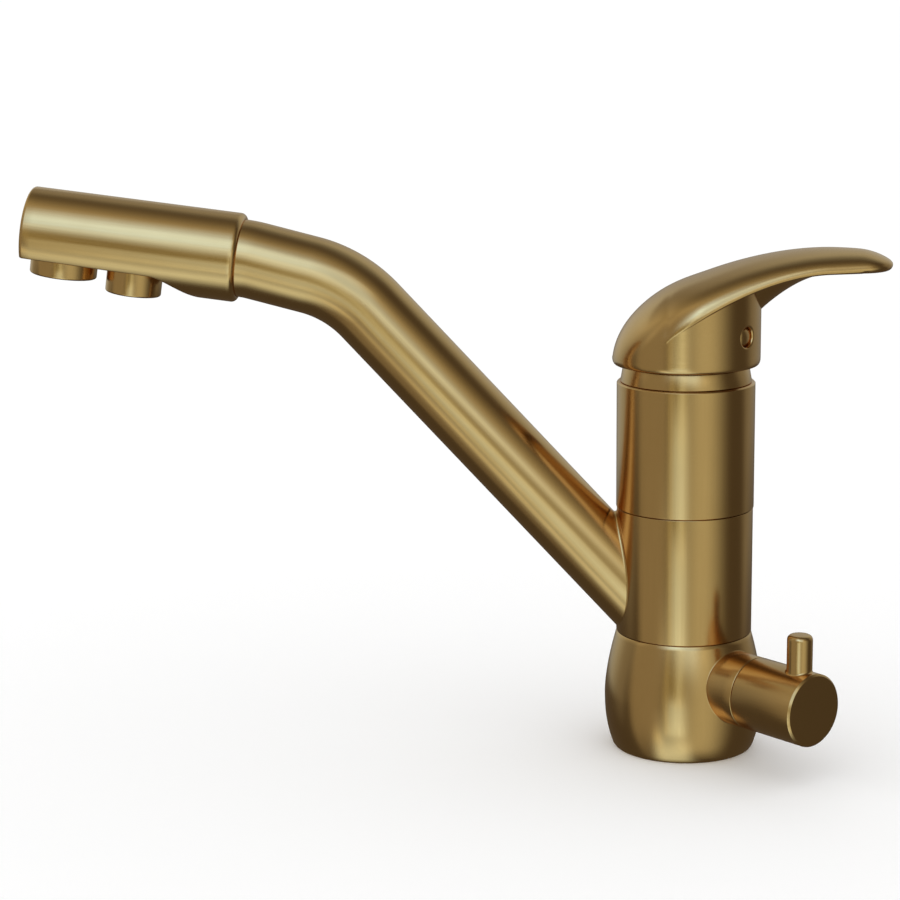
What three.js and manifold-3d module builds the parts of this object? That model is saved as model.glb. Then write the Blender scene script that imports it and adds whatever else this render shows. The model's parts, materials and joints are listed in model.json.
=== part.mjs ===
// A three way filtered water tap for a kitchen sink, in millimetres.
// +Z is up, the origin is the middle of the underside of the base, the spout points along -X
// and the lever along +X. The base and upper body stand still, the collar between them swivels
// with the spout, and a small valve on the base opens the filtered water.

import * as THREE from "three";
import { mergeVertices } from "three/addons/utils/BufferGeometryUtils.js";
import Module from "manifold-3d";

const wasm = await Module();
wasm.setup();

// ---- Driving dimensions (mm and degrees) ----

const clearance = 0.3; // between pieces that fit, seat or run on each other
const overshoot = 1; // how far a cutting tool runs past what it cuts

// Base casting
const baseFootRadius = 25.2;
const baseWidestRadius = 28.6;
const baseWidestHeight = 20;
const baseTopHeight = 43;
const footRounding = 0.8;
const baseUpperCurve = 1.6; // how the side falls from the widest height to the top
const baseLowerCurve = 2.5; // and to the foot
const bodyRadius = 24.5; // top of the base and outside of the swivel collar
const upperBodyRadius = 24.74;
const collarLength = 45.44;
const upperBodyLength = 45.46;
const bodySeam = 0.6; // open line at each end of the collar
const bodyTopChamfer = 0.5;

// Neck that the collar turns on, with its water ways
const neckRadius = 17.5;
const neckAboveCollar = 8.4;
const galleryDepth = 2.5;
const galleryLength = 8.4;
const filterGalleryRise = 14.6; // above the top of the base, as are the next two
const mixedGalleryRise = 27.6;
const neckSealRises = [7.6, 21.1, 34.4];
const neckSealSection = 2.3;
const slipRingInset = 1; // from the bore of the collar
const slipRingWidth = 3.6;
const slipRingThickness = 1.4;
const waterWayRadius = 3.2;
const waterWayDistance = 9.5;
const hotWayAngle = 120;
const coldWayAngle = 240;
const mixedWayAngle = 0;
const filterWayRadius = 2.6;

// Sockets in the underside
const hoseSocketRadius = 4.6;
const hoseSocketDepth = 14;
const studSocketRadius = 3.4;
const studSocketDepth = 16;
const studSocketDistance = 14.5;
const studSocketAngle = 30;
const filterSocketDistance = 15.5;
const gasketRadius = 21.8; // middle of the ring
const gasketWidth = 2.6;
const gasketThickness = 1.8;

// Cartridge
const cartridgeRadius = 20;
const cartridgeWall = 1.4;
const cartridgeSealThickness = 2;
const cartridgeBaseThickness = 11.6;
const fixedDiscThickness = 4.2;
const movingDiscThickness = 3.5;
const discDriverThickness = 5.3;
const rotorFlangeThickness = 2.5;
const housingLipThickness = 1.8;
const movingDiscRadius = 13.5;
const mixingRecessWall = 4; // of the moving disc, round the hollow that mixes the water
const mixingRecessRoof = 1.5;
const driverSocketFloor = 0.5;
const rotorNeckRadius = 11.5;
const pivotAboveHousing = 5.5;
const rotorAbovePivot = 5;
const pivotPinRadius = 2;
const stemWidth = 8;
const stemCornerChamfer = 1.5;
const stemBallRadius = 2.4;
const stemBallArm = 12.5;
const stemArmRadius = 3;
const stemAbovePivot = 27;
const leverLift = 20;
const nutThreadRadius = 21.6;
const nutThreadLength = 3.5;
const nutHexWidth = 36; // across flats
const nutHexHeight = 4.7;
const nutBoreRadius = 13.5;

// Domed cap over the nut
const capFootRadius = 23.5;
const capTopRadius = 22.3;
const capHeight = 6.5;
const capWall = 1.4;
const capTopRounding = 1.5;

// Lever
const skirtRadius = 26.4;
const skirtWall = 1.2;
const skirtRimGap = 6.4; // from the top of the body to the rim of the skirt
const skirtRimRounding = 1; // inwards, at the rim
const skirtRimRise = 2.2; // height of that rounding
const skirtStraightDepth = 3; // straight part of the hollow, above the rim
const skirtHollowDepth = 8.7;
const skirtHollowTopRadius = 20.3;
const leverCrownHeight = 30.2; // above the rim, over the body axis
const wingReach = 72.1; // body axis to the tip
const wingTipRadius = 11.5;
const wingPeakHeight = 41.5; // above the rim
const wingPeakDistance = 50;
const wingTipDrop = 2; // of the crest, from the peak to the tip
const wingEdgeThickness = 0.8;
const wingTipThickness = 2.1; // of the edge, at the tip
const wingOverhang = 0.6; // of the wing's side edge past the skirt
const wingStart = -6.6; // where the side edge fades in, from the body axis
const wingStartHeight = 11; // of the side edge over the rim, where it fades in
const wingSideHeight = 33.6; // out along the wing
const webDepth = 13.4; // of the web under the wing, where it leaves the skirt
const webHalfWidth = 12;
const webStart = 23.8; // from the body axis
const webReach = 32; // over which the web thins out
// How full each curve of the lever is: the power that its run is raised to
const crestFront = 1.85;
const crestTip = 2;
const crestBack = 1.28;
const edgeFront = 2.6;
const edgeTip = 2;
const webRun = 1.8;
const setScrewAngle = -36;
const setScrewHeight = 11.7; // above the rim
const setScrewRadius = 3;
const setScrewLength = 8;
const plugRadius = 4;
const plugLength = 6;
const plugRecess = 0.7;

// Spout
const spoutRadius = 14;
const spoutWall = 1.7;
const spoutRise = 46.82;
const spoutAxisDrop = 4.58; // below the collar, where the spout's centre line meets the body axis
const spoutStraight = 165.85;
const spoutBendRadius = 44.8;
const spoutUpperRise = 14.4;
const spoutUpperStraight = 19.9;
const headRise = 7.29;
const mixedHoleRadius = 3;
const mixedHoleOffset = 8.3;
const filterTubeRadius = 3.2;
const filterTubeWall = 0.9;
const tubeInAdapter = 1.2;

// Outlet head
const headRadius = 16.1;
const headLength = 78.1;
const headRimRounding = 2;
const headEndRounding = 1;
const headSocketDepth = 8;
const headSealThickness = 1.5;
const headSealMargin = 0.5; // round the mouth of the chamber
const headFlatDepth = 9.1; // of the flat underside, below the axis
const headFlatTilt = 0.8; // the flat rises a little towards the free end
const flatStart = 31.5; // from the rim
const scoopStart = 11; // from the rim, where the scoop begins that leads into the flat
const chamberRadius = 7.5;
const chamberRaise = 3;
const chamberEndWall = 7;

// Aerators: distance from the rim, outside, and what stands out of the flat
const mainAerator = {
  name: "main_aerator", distance: 64.4, radius: 12.1, stand: 6, threadRadius: 10.3,
  threadLength: 6, boreRadius: 9.2, washerThickness: 1.5, holeRadius: 1.9,
  holeDistance: 5.3, wayRadius: 7.2,
};
const filterAerator = {
  name: "filter_aerator", distance: 38.2, radius: 10.1, stand: 8.9, threadRadius: 8.5,
  threadLength: 4, boreRadius: 7, washerThickness: 1, holeRadius: 1.5,
  holeDistance: 4, wayRadius: 5,
};
const aeratorEdge = 0.8;
const insertRecess = 1;
const insertLip = 0.6; // that keeps the insert in its housing
const adapterFlangeThickness = 1.7;
const adapterRadius = 4.6;

// Filter valve
const valveAngle = -45;
const valveHeight = 27;
const valveRadius = 13;
const stubReach = 36.2; // body axis to the end of the stub
const valveBoreRadius = 8.6;
const valveBoreEnd = 12; // from the body axis
const valveSealThickness = 1.4;
const valveDiscRadius = 6.3;
const valveDiscThickness = 2;
const valveDiscPortRadius = 1.6;
const valveSealBore = 3.6;
const spindleRadius = 3.8;
const headworkInKnob = 4;
const headworkSealSection = 1.8;
const headworkSealDepth = 5; // from the end of the stub
const headworkWall = 0.8; // round the discs, where the water comes in
const knobLength = 27.4;
const knobBevel = 0.7;
const knobHollowRadius = 10.2;
const knobHollowDepth = 8.7;
const knobGrip = 11.3; // length of the spindle in the knob
const knobScrewRadius = 2;
const knobScrewDistance = 13; // from the seam to the grub screw
const knobScrewRecess = 0.8;
const pinRadius = 4.5;
const pinStand = 13; // above the knob
const pinDistance = 20.2; // from the seam
const pinTopRounding = 1.8;
const pinSpigotRadius = 2.5;
const pinSpigotLength = 5;

// Fineness
const bodySegments = 36;
const innerSegments = 24;
const smallSegments = 16;
const holeSegments = 8;
const valveSegments = 32;
const spoutSegments = 22;
const socketSegments = 40; // bore of the outlet head
const seatSegments = 64; // foot of the pin on the knob
const tinySegments = 6;
const spoutSteps = 28;
const baseSideSteps = 5;
const leverLengthSteps = 22;
const leverCrossSteps = 10;
const scoopSteps = 8;
const leastHalfWidth = 0.2; // of the lever's rows at its ends

// ---- Heights that follow from them ----

const collarBottom = baseTopHeight + bodySeam;
const collarTop = collarBottom + collarLength;
const filterGalleryHeight = baseTopHeight + filterGalleryRise;
const mixedGalleryHeight = baseTopHeight + mixedGalleryRise;
const neckSealHeights = neckSealRises.map((rise) => baseTopHeight + rise);
const spoutAxisHeight = collarBottom - spoutAxisDrop;
const upperBottom = collarTop + bodySeam;
const upperTop = upperBottom + upperBodyLength;
const neckTop = upperBottom + neckAboveCollar;
const cartridgeBaseBottom = neckTop + cartridgeSealThickness + 2 * clearance;
const fixedDiscBottom = cartridgeBaseBottom + cartridgeBaseThickness + clearance;
const movingDiscBottom = fixedDiscBottom + fixedDiscThickness + clearance;
const driverBottom = movingDiscBottom + movingDiscThickness + clearance;
const rotorBottom = driverBottom + discDriverThickness + clearance;
const housingTop = rotorBottom + rotorFlangeThickness + clearance + housingLipThickness;
const pivotHeight = housingTop + pivotAboveHousing;
const capBottom = upperTop + clearance;
const capTop = capBottom + capHeight;
const rimHeight = upperTop + skirtRimGap;

const radians = THREE.MathUtils.degToRad;

// ---- Solids ----

function solidFrom(geometry) {
  geometry.deleteAttribute("normal");
  geometry.deleteAttribute("uv");
  const merged = mergeVertices(geometry, 1e-4);
  const place = merged.getAttribute("position").array;
  const corners = [];
  let volume = 0;
  for (let i = 0; i < merged.index.count; i += 3) {
    const [a, b, c] = [0, 1, 2].map((k) => merged.index.getX(i + k));
    if (a === b || b === c || c === a) continue;
    corners.push(a, b, c);
    const [pa, pb, pc] = [a, b, c].map((k) => new THREE.Vector3().fromArray(place, 3 * k));
    volume += pa.dot(pb.cross(pc));
  }
  if (volume < 0) corners.reverse();
  const mesh = new wasm.Mesh({
    numProp: 3,
    vertProperties: new Float32Array(place),
    triVerts: new Uint32Array(corners),
  });
  return new wasm.Manifold(mesh);
}

function geometryFrom(solid) {
  const mesh = solid.getMesh();
  const geometry = new THREE.BufferGeometry();
  geometry.setAttribute("position", new THREE.BufferAttribute(mesh.vertProperties, 3));
  geometry.setIndex(new THREE.BufferAttribute(mesh.triVerts, 1));
  geometry.computeVertexNormals();
  return geometry;
}

// A profile of [radius, height] pairs turned about the Z axis
function turned(profile, segments = bodySegments) {
  const points = profile.map(([radius, height]) => new THREE.Vector2(radius, height));
  return solidFrom(new THREE.LatheGeometry(points, segments).rotateX(Math.PI / 2));
}

function rod(radius, bottom, top, segments = smallSegments) {
  return turned([[0, bottom], [radius, bottom], [radius, top], [0, top]], segments);
}

function ring(inner, outer, bottom, top, segments = innerSegments) {
  const profile = [[inner, bottom], [outer, bottom], [outer, top], [inner, top], [inner, bottom]];
  return turned(profile, segments);
}

function roundRing(middle, section, height, segments = innerSegments) {
  const profile = [];
  for (let i = 0; i <= 6; i += 1) {
    const angle = (i * Math.PI) / 3;
    profile.push([middle + (section / 2) * Math.cos(angle), height + (section / 2) * Math.sin(angle)]);
  }
  return turned(profile, segments);
}

function block(low, high) {
  const size = high.map((value, i) => value - low[i]);
  const middle = high.map((value, i) => (value + low[i]) / 2);
  return solidFrom(new THREE.BoxGeometry(...size).translate(...middle));
}

function prism(outline, bottom, top) {
  const shape = new THREE.Shape(outline.map(([x, y]) => new THREE.Vector2(x, y)));
  const depth = top - bottom;
  const geometry = new THREE.ExtrudeGeometry(shape, { depth, bevelEnabled: false, steps: 1 });
  return solidFrom(geometry.translate(0, 0, bottom));
}

function moved(solid, x, y, z) {
  return solid.translate([x, y, z]);
}

function polar(solid, distance, angle) {
  return moved(solid, distance * Math.cos(radians(angle)), distance * Math.sin(radians(angle)), 0);
}

// Turns a solid's own Z axis to +X, or to -X
const alongX = (solid) => solid.rotate([0, 90, 0]);
const alongMinusX = (solid) => solid.rotate([0, -90, 0]);

function joined(...solids) {
  return solids.reduce((sum, solid) => sum.add(solid));
}

function cut(solid, ...tools) {
  return tools.reduce((rest, tool) => rest.subtract(tool), solid);
}

// ---- Finishes ----

function finish(color, roughness, metalness) {
  return { color, roughness, metalness };
}

const bronze = finish(0xa58a55, 0.34, 1);
const brass = finish(0xb59a5a, 0.4, 1);
const steel = finish(0x9a9a98, 0.3, 1);
const ceramic = finish(0xe8e6e0, 0.25, 0);
const rubber = finish(0x1c1c1c, 0.8, 0);
const whitePlastic = finish(0xe2e0d8, 0.5, 0);
const greyPlastic = finish(0x6c6f72, 0.5, 0);

const tap = new THREE.Group();

function addPiece(group, name, solid, look) {
  const mesh = new THREE.Mesh(geometryFrom(solid), new THREE.MeshStandardMaterial(look));
  mesh.name = name;
  group.add(mesh);
}

// ---- Base casting with its neck ----

function baseSide() {
  const points = [];
  for (let i = 0; i <= baseSideSteps; i += 1) {
    const height = footRounding + ((baseWidestHeight - footRounding) * i) / baseSideSteps;
    const fall = (1 - height / baseWidestHeight) ** baseLowerCurve;
    points.push([baseWidestRadius - (baseWidestRadius - baseFootRadius) * fall, height]);
  }
  for (let i = 1; i <= baseSideSteps; i += 1) {
    const height = baseWidestHeight + ((baseTopHeight - baseWidestHeight) * i) / baseSideSteps;
    const fall = (i / baseSideSteps) ** baseUpperCurve;
    points.push([baseWidestRadius - (baseWidestRadius - bodyRadius) * fall, height]);
  }
  return points;
}

function neckSide() {
  const halfGallery = galleryLength / 2;
  const halfGroove = neckSealSection / 2 + clearance / 2;
  const grooves = [
    ...neckSealHeights.map((height) => [height, halfGroove, neckSealSection]),
    [filterGalleryHeight, halfGallery, galleryDepth],
    [mixedGalleryHeight, halfGallery, galleryDepth],
  ].sort((a, b) => a[0] - b[0]);
  const points = [];
  for (const [height, half, depth] of grooves) {
    points.push([neckRadius, height - half], [neckRadius - depth, height - half]);
    points.push([neckRadius - depth, height + half], [neckRadius, height + half]);
  }
  points.push([neckRadius, neckTop]);
  return points;
}

const slipInner = neckRadius + clearance + slipRingInset;

function slipRecess(bottom, top) {
  return ring(slipInner - clearance, slipInner + slipRingWidth + clearance, bottom, top);
}

function baseBody() {
  const outline = [[0, 0], [baseFootRadius - footRounding, 0], ...baseSide(), [0, baseTopHeight]];
  const neck = [[0, baseTopHeight - overshoot], [neckRadius, baseTopHeight - overshoot], ...neckSide(),
    [0, neckTop]];
  const stub = alongX(rod(valveRadius, 0, stubReach, valveSegments)).rotate([0, 0, valveAngle]);
  const casting = joined(turned(outline), turned(neck, innerSegments), moved(stub, 0, 0, valveHeight));
  const way = (height) => rod(waterWayRadius, height, neckTop + overshoot, holeSegments);
  const hoseSocket = rod(hoseSocketRadius, -overshoot, hoseSocketDepth, smallSegments);
  const supply = joined(way(hoseSocketDepth - overshoot), hoseSocket);
  const mixedOut = alongX(rod(waterWayRadius, 0, neckRadius, holeSegments));
  const filterOut = alongMinusX(rod(filterWayRadius, 0, neckRadius, holeSegments));
  const valveBore = joined(
    alongX(rod(valveBoreRadius, valveBoreEnd, stubReach + overshoot, innerSegments)),
    alongX(rod(filterWayRadius, 0, valveBoreEnd + overshoot, holeSegments)),
  ).rotate([0, 0, valveAngle]);
  const filterSupply = joined(hoseSocket,
    rod(waterWayRadius, hoseSocketDepth - overshoot, valveHeight, holeSegments));
  return cut(
    casting,
    polar(supply, waterWayDistance, hotWayAngle),
    polar(supply, waterWayDistance, coldWayAngle),
    polar(way(mixedGalleryHeight), waterWayDistance, mixedWayAngle),
    moved(polar(mixedOut, waterWayDistance, mixedWayAngle), 0, 0, mixedGalleryHeight),
    rod(filterWayRadius, valveHeight, filterGalleryHeight, holeSegments),
    moved(filterOut, 0, 0, filterGalleryHeight),
    moved(valveBore, 0, 0, valveHeight),
    polar(filterSupply, filterSocketDistance, valveAngle),
    polar(rod(studSocketRadius, -overshoot, studSocketDepth), studSocketDistance, studSocketAngle),
    ring(gasketRadius - gasketWidth / 2 - clearance, gasketRadius + gasketWidth / 2 + clearance,
      -overshoot, gasketThickness + clearance),
    slipRecess(baseTopHeight - slipRingThickness + clearance, baseTopHeight + overshoot),
  );
}

addPiece(tap, "base_body", baseBody(), bronze);
addPiece(tap, "base_gasket", ring(gasketRadius - gasketWidth / 2, gasketRadius + gasketWidth / 2,
  0, gasketThickness), rubber);

["neck_seal_lower", "neck_seal_middle", "neck_seal_upper"].forEach((name, i) => {
  const middle = neckRadius - neckSealSection / 2 + clearance / 4;
  addPiece(tap, name, roundRing(middle, neckSealSection - clearance / 2, neckSealHeights[i]), rubber);
});

const lowerSlipBottom = baseTopHeight - slipRingThickness + 2 * clearance;
addPiece(tap, "lower_slip_ring", ring(slipInner, slipInner + slipRingWidth,
  lowerSlipBottom, baseTopHeight + bodySeam - clearance), whitePlastic);
const upperSlipBottom = collarTop - slipRingThickness + 2 * clearance;
addPiece(tap, "upper_slip_ring", ring(slipInner, slipInner + slipRingWidth,
  upperSlipBottom, collarTop + bodySeam - clearance), whitePlastic);

// ---- Upper body and cap ----

function upperBody() {
  const bore = neckRadius + clearance;
  const cavity = cartridgeRadius + clearance;
  const thread = nutThreadRadius + clearance;
  return turned([
    [bore, upperBottom], [upperBodyRadius, upperBottom],
    [upperBodyRadius, upperTop - bodyTopChamfer], [upperBodyRadius - bodyTopChamfer, upperTop],
    [thread, upperTop], [thread, housingTop], [cavity, housingTop], [cavity, neckTop],
    [bore, neckTop], [bore, upperBottom],
  ]);
}

function domeCap() {
  const hole = rotorNeckRadius + 3 * clearance;
  return turned([
    [capFootRadius - capWall, capBottom], [capFootRadius, capBottom],
    [capTopRadius, capTop - capTopRounding],
    ...rounded(capTopRadius - capTopRounding, capTop - capTopRounding, capTopRounding, 1),
    [capTopRadius - capTopRounding, capTop], [hole, capTop], [hole, capTop - capWall],
    [capTopRadius - capWall, capTop - capWall], [capFootRadius - capWall, capBottom],
  ]);
}

addPiece(tap, "upper_body", upperBody(), bronze);
addPiece(tap, "dome_cap", domeCap(), bronze);

// ---- Cartridge ----

const cartridgeBore = cartridgeRadius - cartridgeWall;
const portAngles = [hotWayAngle, coldWayAngle, mixedWayAngle];

function withPorts(solid, radius, bottom, top) {
  const port = rod(radius, bottom - overshoot, top + overshoot, holeSegments);
  return cut(solid, ...portAngles.map((angle) => polar(port, waterWayDistance, angle)));
}

function cartridgeHousing() {
  const outer = cartridgeRadius;
  const lip = housingTop - housingLipThickness;
  const mouth = rotorNeckRadius + clearance;
  return turned([
    [cartridgeBore, neckTop + clearance], [outer, neckTop + clearance], [outer, housingTop - clearance],
    [mouth, housingTop - clearance], [mouth, lip], [cartridgeBore, lip],
    [cartridgeBore, neckTop + clearance],
  ], innerSegments);
}

function cartridgeSeal() {
  const bottom = neckTop + clearance;
  const top = bottom + cartridgeSealThickness;
  return withPorts(rod(cartridgeBore - clearance, bottom, top, innerSegments), waterWayRadius, bottom, top);
}

function cartridgeBase() {
  const top = cartridgeBaseBottom + cartridgeBaseThickness;
  const plate = rod(cartridgeBore - clearance, cartridgeBaseBottom, top, innerSegments);
  return withPorts(plate, waterWayRadius, cartridgeBaseBottom, top);
}

function fixedDisc() {
  const top = fixedDiscBottom + fixedDiscThickness;
  const plate = rod(cartridgeBore - 4 * clearance, fixedDiscBottom, top, innerSegments);
  return withPorts(plate, waterWayRadius - clearance, fixedDiscBottom, top);
}

function movingDisc() {
  const top = movingDiscBottom + movingDiscThickness;
  const plate = rod(movingDiscRadius, movingDiscBottom, top, innerSegments);
  const mixingRecess = rod(movingDiscRadius - mixingRecessWall, movingDiscBottom - overshoot,
    top - mixingRecessRoof);
  return cut(plate, mixingRecess);
}

function discDriver() {
  const top = driverBottom + discDriverThickness;
  const socket = rod(stemBallRadius + 2 * clearance, driverBottom + driverSocketFloor,
    top + overshoot);
  return cut(rod(movingDiscRadius, driverBottom, top, innerSegments), socket);
}

// The slot lets the stem swing from upright to leaning back by the lift angle
function rotor() {
  const neckTopHeight = pivotHeight + rotorAbovePivot;
  const flangeTop = rotorBottom + rotorFlangeThickness;
  const flangeRadius = cartridgeBore - clearance;
  const body = turned([
    [0, rotorBottom], [flangeRadius, rotorBottom], [flangeRadius, flangeTop],
    [rotorNeckRadius, flangeTop], [rotorNeckRadius, neckTopHeight], [0, neckTopHeight],
  ], innerSegments);
  const swing = Math.sin(radians(leverLift));
  const halfSlot = stemWidth / 2 + clearance;
  const back = halfSlot + rotorAbovePivot * swing + clearance;
  const front = stemBallRadius + stemBallArm * swing + clearance;
  const slot = block([-back, -halfSlot, rotorBottom - overshoot],
    [Math.max(front, halfSlot), halfSlot, neckTopHeight + overshoot]);
  const pinHole = rod(pivotPinRadius + clearance, -rotorNeckRadius - overshoot,
    rotorNeckRadius + overshoot, holeSegments).rotate([90, 0, 0]);
  return cut(body, slot, moved(pinHole, 0, 0, pivotHeight));
}

function pivotPin() {
  const half = rotorNeckRadius - 2 * clearance;
  return moved(rod(pivotPinRadius, -half, half, holeSegments).rotate([90, 0, 0]), 0, 0, pivotHeight);
}

function chamferedSquare(half, chamfer) {
  const inner = half - chamfer;
  return [
    [half, -inner], [half, inner], [inner, half], [-inner, half],
    [-half, inner], [-half, -inner], [-inner, -half], [inner, -half],
  ];
}

function stem() {
  const half = stemWidth / 2;
  const shoulder = pivotHeight - half;
  const ballHeight = pivotHeight - stemBallArm;
  const bar = prism(chamferedSquare(half, stemCornerChamfer), shoulder, pivotHeight + stemAbovePivot);
  const ballCorner = stemBallRadius * Math.SQRT1_2;
  const arm = turned([
    [0, ballHeight - stemBallRadius], [ballCorner, ballHeight - ballCorner],
    [stemBallRadius, ballHeight], [ballCorner, ballHeight + ballCorner],
    [stemArmRadius, shoulder - overshoot], [stemArmRadius, shoulder + overshoot],
    [0, shoulder + overshoot],
  ], smallSegments);
  const pinHole = rod(pivotPinRadius + clearance, -stemWidth, stemWidth, holeSegments);
  return cut(joined(bar, arm), moved(pinHole.rotate([90, 0, 0]), 0, 0, pivotHeight));
}

function hexagon(acrossFlats) {
  const corner = acrossFlats / Math.sqrt(3);
  return [0, 60, 120, 180, 240, 300].map((angle) => [
    corner * Math.cos(radians(angle)), corner * Math.sin(radians(angle)),
  ]);
}

function cartridgeNut() {
  const bottom = housingTop + clearance;
  const threadTop = bottom + nutThreadLength;
  const hex = prism(hexagon(nutHexWidth), threadTop - clearance, threadTop + nutHexHeight);
  const bore = rod(nutBoreRadius, bottom - overshoot, threadTop + nutHexHeight + overshoot, innerSegments);
  return cut(joined(rod(nutThreadRadius, bottom, threadTop, innerSegments), hex), bore);
}

addPiece(tap, "cartridge_seal", cartridgeSeal(), rubber);
addPiece(tap, "cartridge_base", cartridgeBase(), whitePlastic);
addPiece(tap, "cartridge_housing", cartridgeHousing(), greyPlastic);
addPiece(tap, "fixed_ceramic_disc", fixedDisc(), ceramic);
addPiece(tap, "moving_ceramic_disc", movingDisc(), ceramic);
addPiece(tap, "disc_driver", discDriver(), whitePlastic);
addPiece(tap, "cartridge_rotor", rotor(), whitePlastic);
addPiece(tap, "cartridge_pivot_pin", pivotPin(), steel);
addPiece(tap, "cartridge_stem", stem(), brass);
addPiece(tap, "cartridge_nut", cartridgeNut(), brass);

// ---- Lever: a round skirt that grows into a wing ----

const wingTipCentre = wingReach - wingTipRadius;
// where the straight sides leave the skirt's circle and reach the tip's circle
const sideSlope = (skirtRadius - wingTipRadius) / wingTipCentre;
const sideStart = skirtRadius * sideSlope;
const sideEnd = wingTipCentre + wingTipRadius * sideSlope;

function halfWidth(x) {
  if (x <= sideStart) return Math.sqrt(Math.max(skirtRadius ** 2 - x ** 2, 0));
  if (x >= sideEnd) return Math.sqrt(Math.max(wingTipRadius ** 2 - (x - wingTipCentre) ** 2, 0));
  const t = (x - sideStart) / (sideEnd - sideStart);
  return THREE.MathUtils.lerp(halfWidth(sideStart), halfWidth(sideEnd), t);
}

// How far a place is on its way from the peak to the tip
const toTip = (x) => Math.max((x - wingPeakDistance) / (wingReach - wingPeakDistance), 0);

// Height of the crest over the rim: it swings up from the back of the skirt over the axis to
// the peak, and falls a little to the tip
function crest(x) {
  if (x > wingPeakDistance) return wingPeakHeight - wingTipDrop * toTip(x) ** crestTip;
  if (x > 0) {
    const t = 1 - x / wingPeakDistance;
    return wingPeakHeight - (wingPeakHeight - leverCrownHeight) * t ** crestFront;
  }
  return leverCrownHeight * Math.sqrt(Math.max(1 - (-x / skirtRadius) ** crestBack, 0));
}

// Height of the lower side edge over the rim
function sideEdge(x) {
  const toPeak = THREE.MathUtils.clamp((x - wingStart) / (wingPeakDistance - wingStart), 0, 1);
  return wingSideHeight - (wingSideHeight - wingStartHeight) * (1 - toPeak) ** edgeFront;
}

// What the edge gains in thickness towards the tip
const edgeSwell = (x) => (wingTipThickness - wingEdgeThickness) * toTip(x) ** edgeTip;

// 0 along the spine and 1 along the outline, also round the tip
function nearEdge(x, across) {
  const round = THREE.MathUtils.clamp((x - wingTipCentre) / wingTipRadius, 0, 1);
  return 1 - (1 - across ** 2) * (1 - round ** 2);
}

// The crown falls as a half ellipse from the crest to the side; behind the wing's start the side
// sinks to the rim
function topHeight(x, across) {
  const behind = THREE.MathUtils.smoothstep(-x, -wingStart / 2, skirtRadius);
  const edgeTop = sideEdge(x) + wingEdgeThickness + edgeSwell(x);
  const side = Math.min(THREE.MathUtils.lerp(edgeTop, skirtRimRise, behind), crest(x));
  const rise = Math.sqrt(Math.max(1 - nearEdge(x, across), 0));
  return rimHeight + THREE.MathUtils.lerp(side, crest(x), rise);
}

function wingUnderside(x, across) {
  const t = THREE.MathUtils.clamp((x - webStart) / webReach, 0, 1);
  const beside = (across * halfWidth(x)) / webHalfWidth;
  const web = webDepth * (1 - t) ** webRun * Math.max(1 - beside ** 2, 0);
  const lift = edgeSwell(x) * nearEdge(x, across) ** 2;
  return rimHeight + Math.max(sideEdge(x) - web + lift, skirtHollowDepth);
}

// A solid between two height functions over a run of the lever's plan outline
function lofted(from, to, overhang, bottomAt, topAt) {
  const rows = [];
  for (let i = 0; i <= leverLengthSteps; i += 1) {
    const spread = (1 - Math.cos((Math.PI * i) / leverLengthSteps)) / 2;
    rows.push(THREE.MathUtils.lerp(from, to, spread));
  }
  const positions = [];
  const index = [];
  const width = leverCrossSteps + 1;
  for (const side of [bottomAt, topAt]) {
    for (const x of rows) {
      const half = Math.max(halfWidth(x), leastHalfWidth) + overhang * THREE.MathUtils.smoothstep(x, from, 0);
      for (let j = 0; j < width; j += 1) {
        const across = Math.sin((Math.PI / 2) * ((2 * j) / leverCrossSteps - 1));
        positions.push(x, across * half, side(x, across));
      }
    }
  }
  const layer = rows.length * width;
  const quad = (a, b, c, d) => index.push(a, b, c, a, c, d);
  for (let i = 0; i < rows.length - 1; i += 1) {
    for (let j = 0; j < leverCrossSteps; j += 1) {
      const a = i * width + j;
      quad(a, a + 1, a + width + 1, a + width);
      quad(layer + a, layer + a + width, layer + a + width + 1, layer + a + 1);
    }
    for (const [j, flip] of [[0, false], [leverCrossSteps, true]]) {
      const a = i * width + j;
      const corners = [a, a + width, layer + a + width, layer + a];
      quad(...(flip ? corners.reverse() : corners));
    }
  }
  for (const [i, flip] of [[0, true], [rows.length - 1, false]]) {
    for (let j = 0; j < leverCrossSteps; j += 1) {
      const a = i * width + j;
      const corners = [a, a + 1, layer + a + 1, layer + a];
      quad(...(flip ? corners.reverse() : corners));
    }
  }
  const geometry = new THREE.BufferGeometry();
  geometry.setAttribute("position", new THREE.Float32BufferAttribute(positions, 3));
  geometry.setIndex(index);
  return solidFrom(geometry);
}

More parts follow.
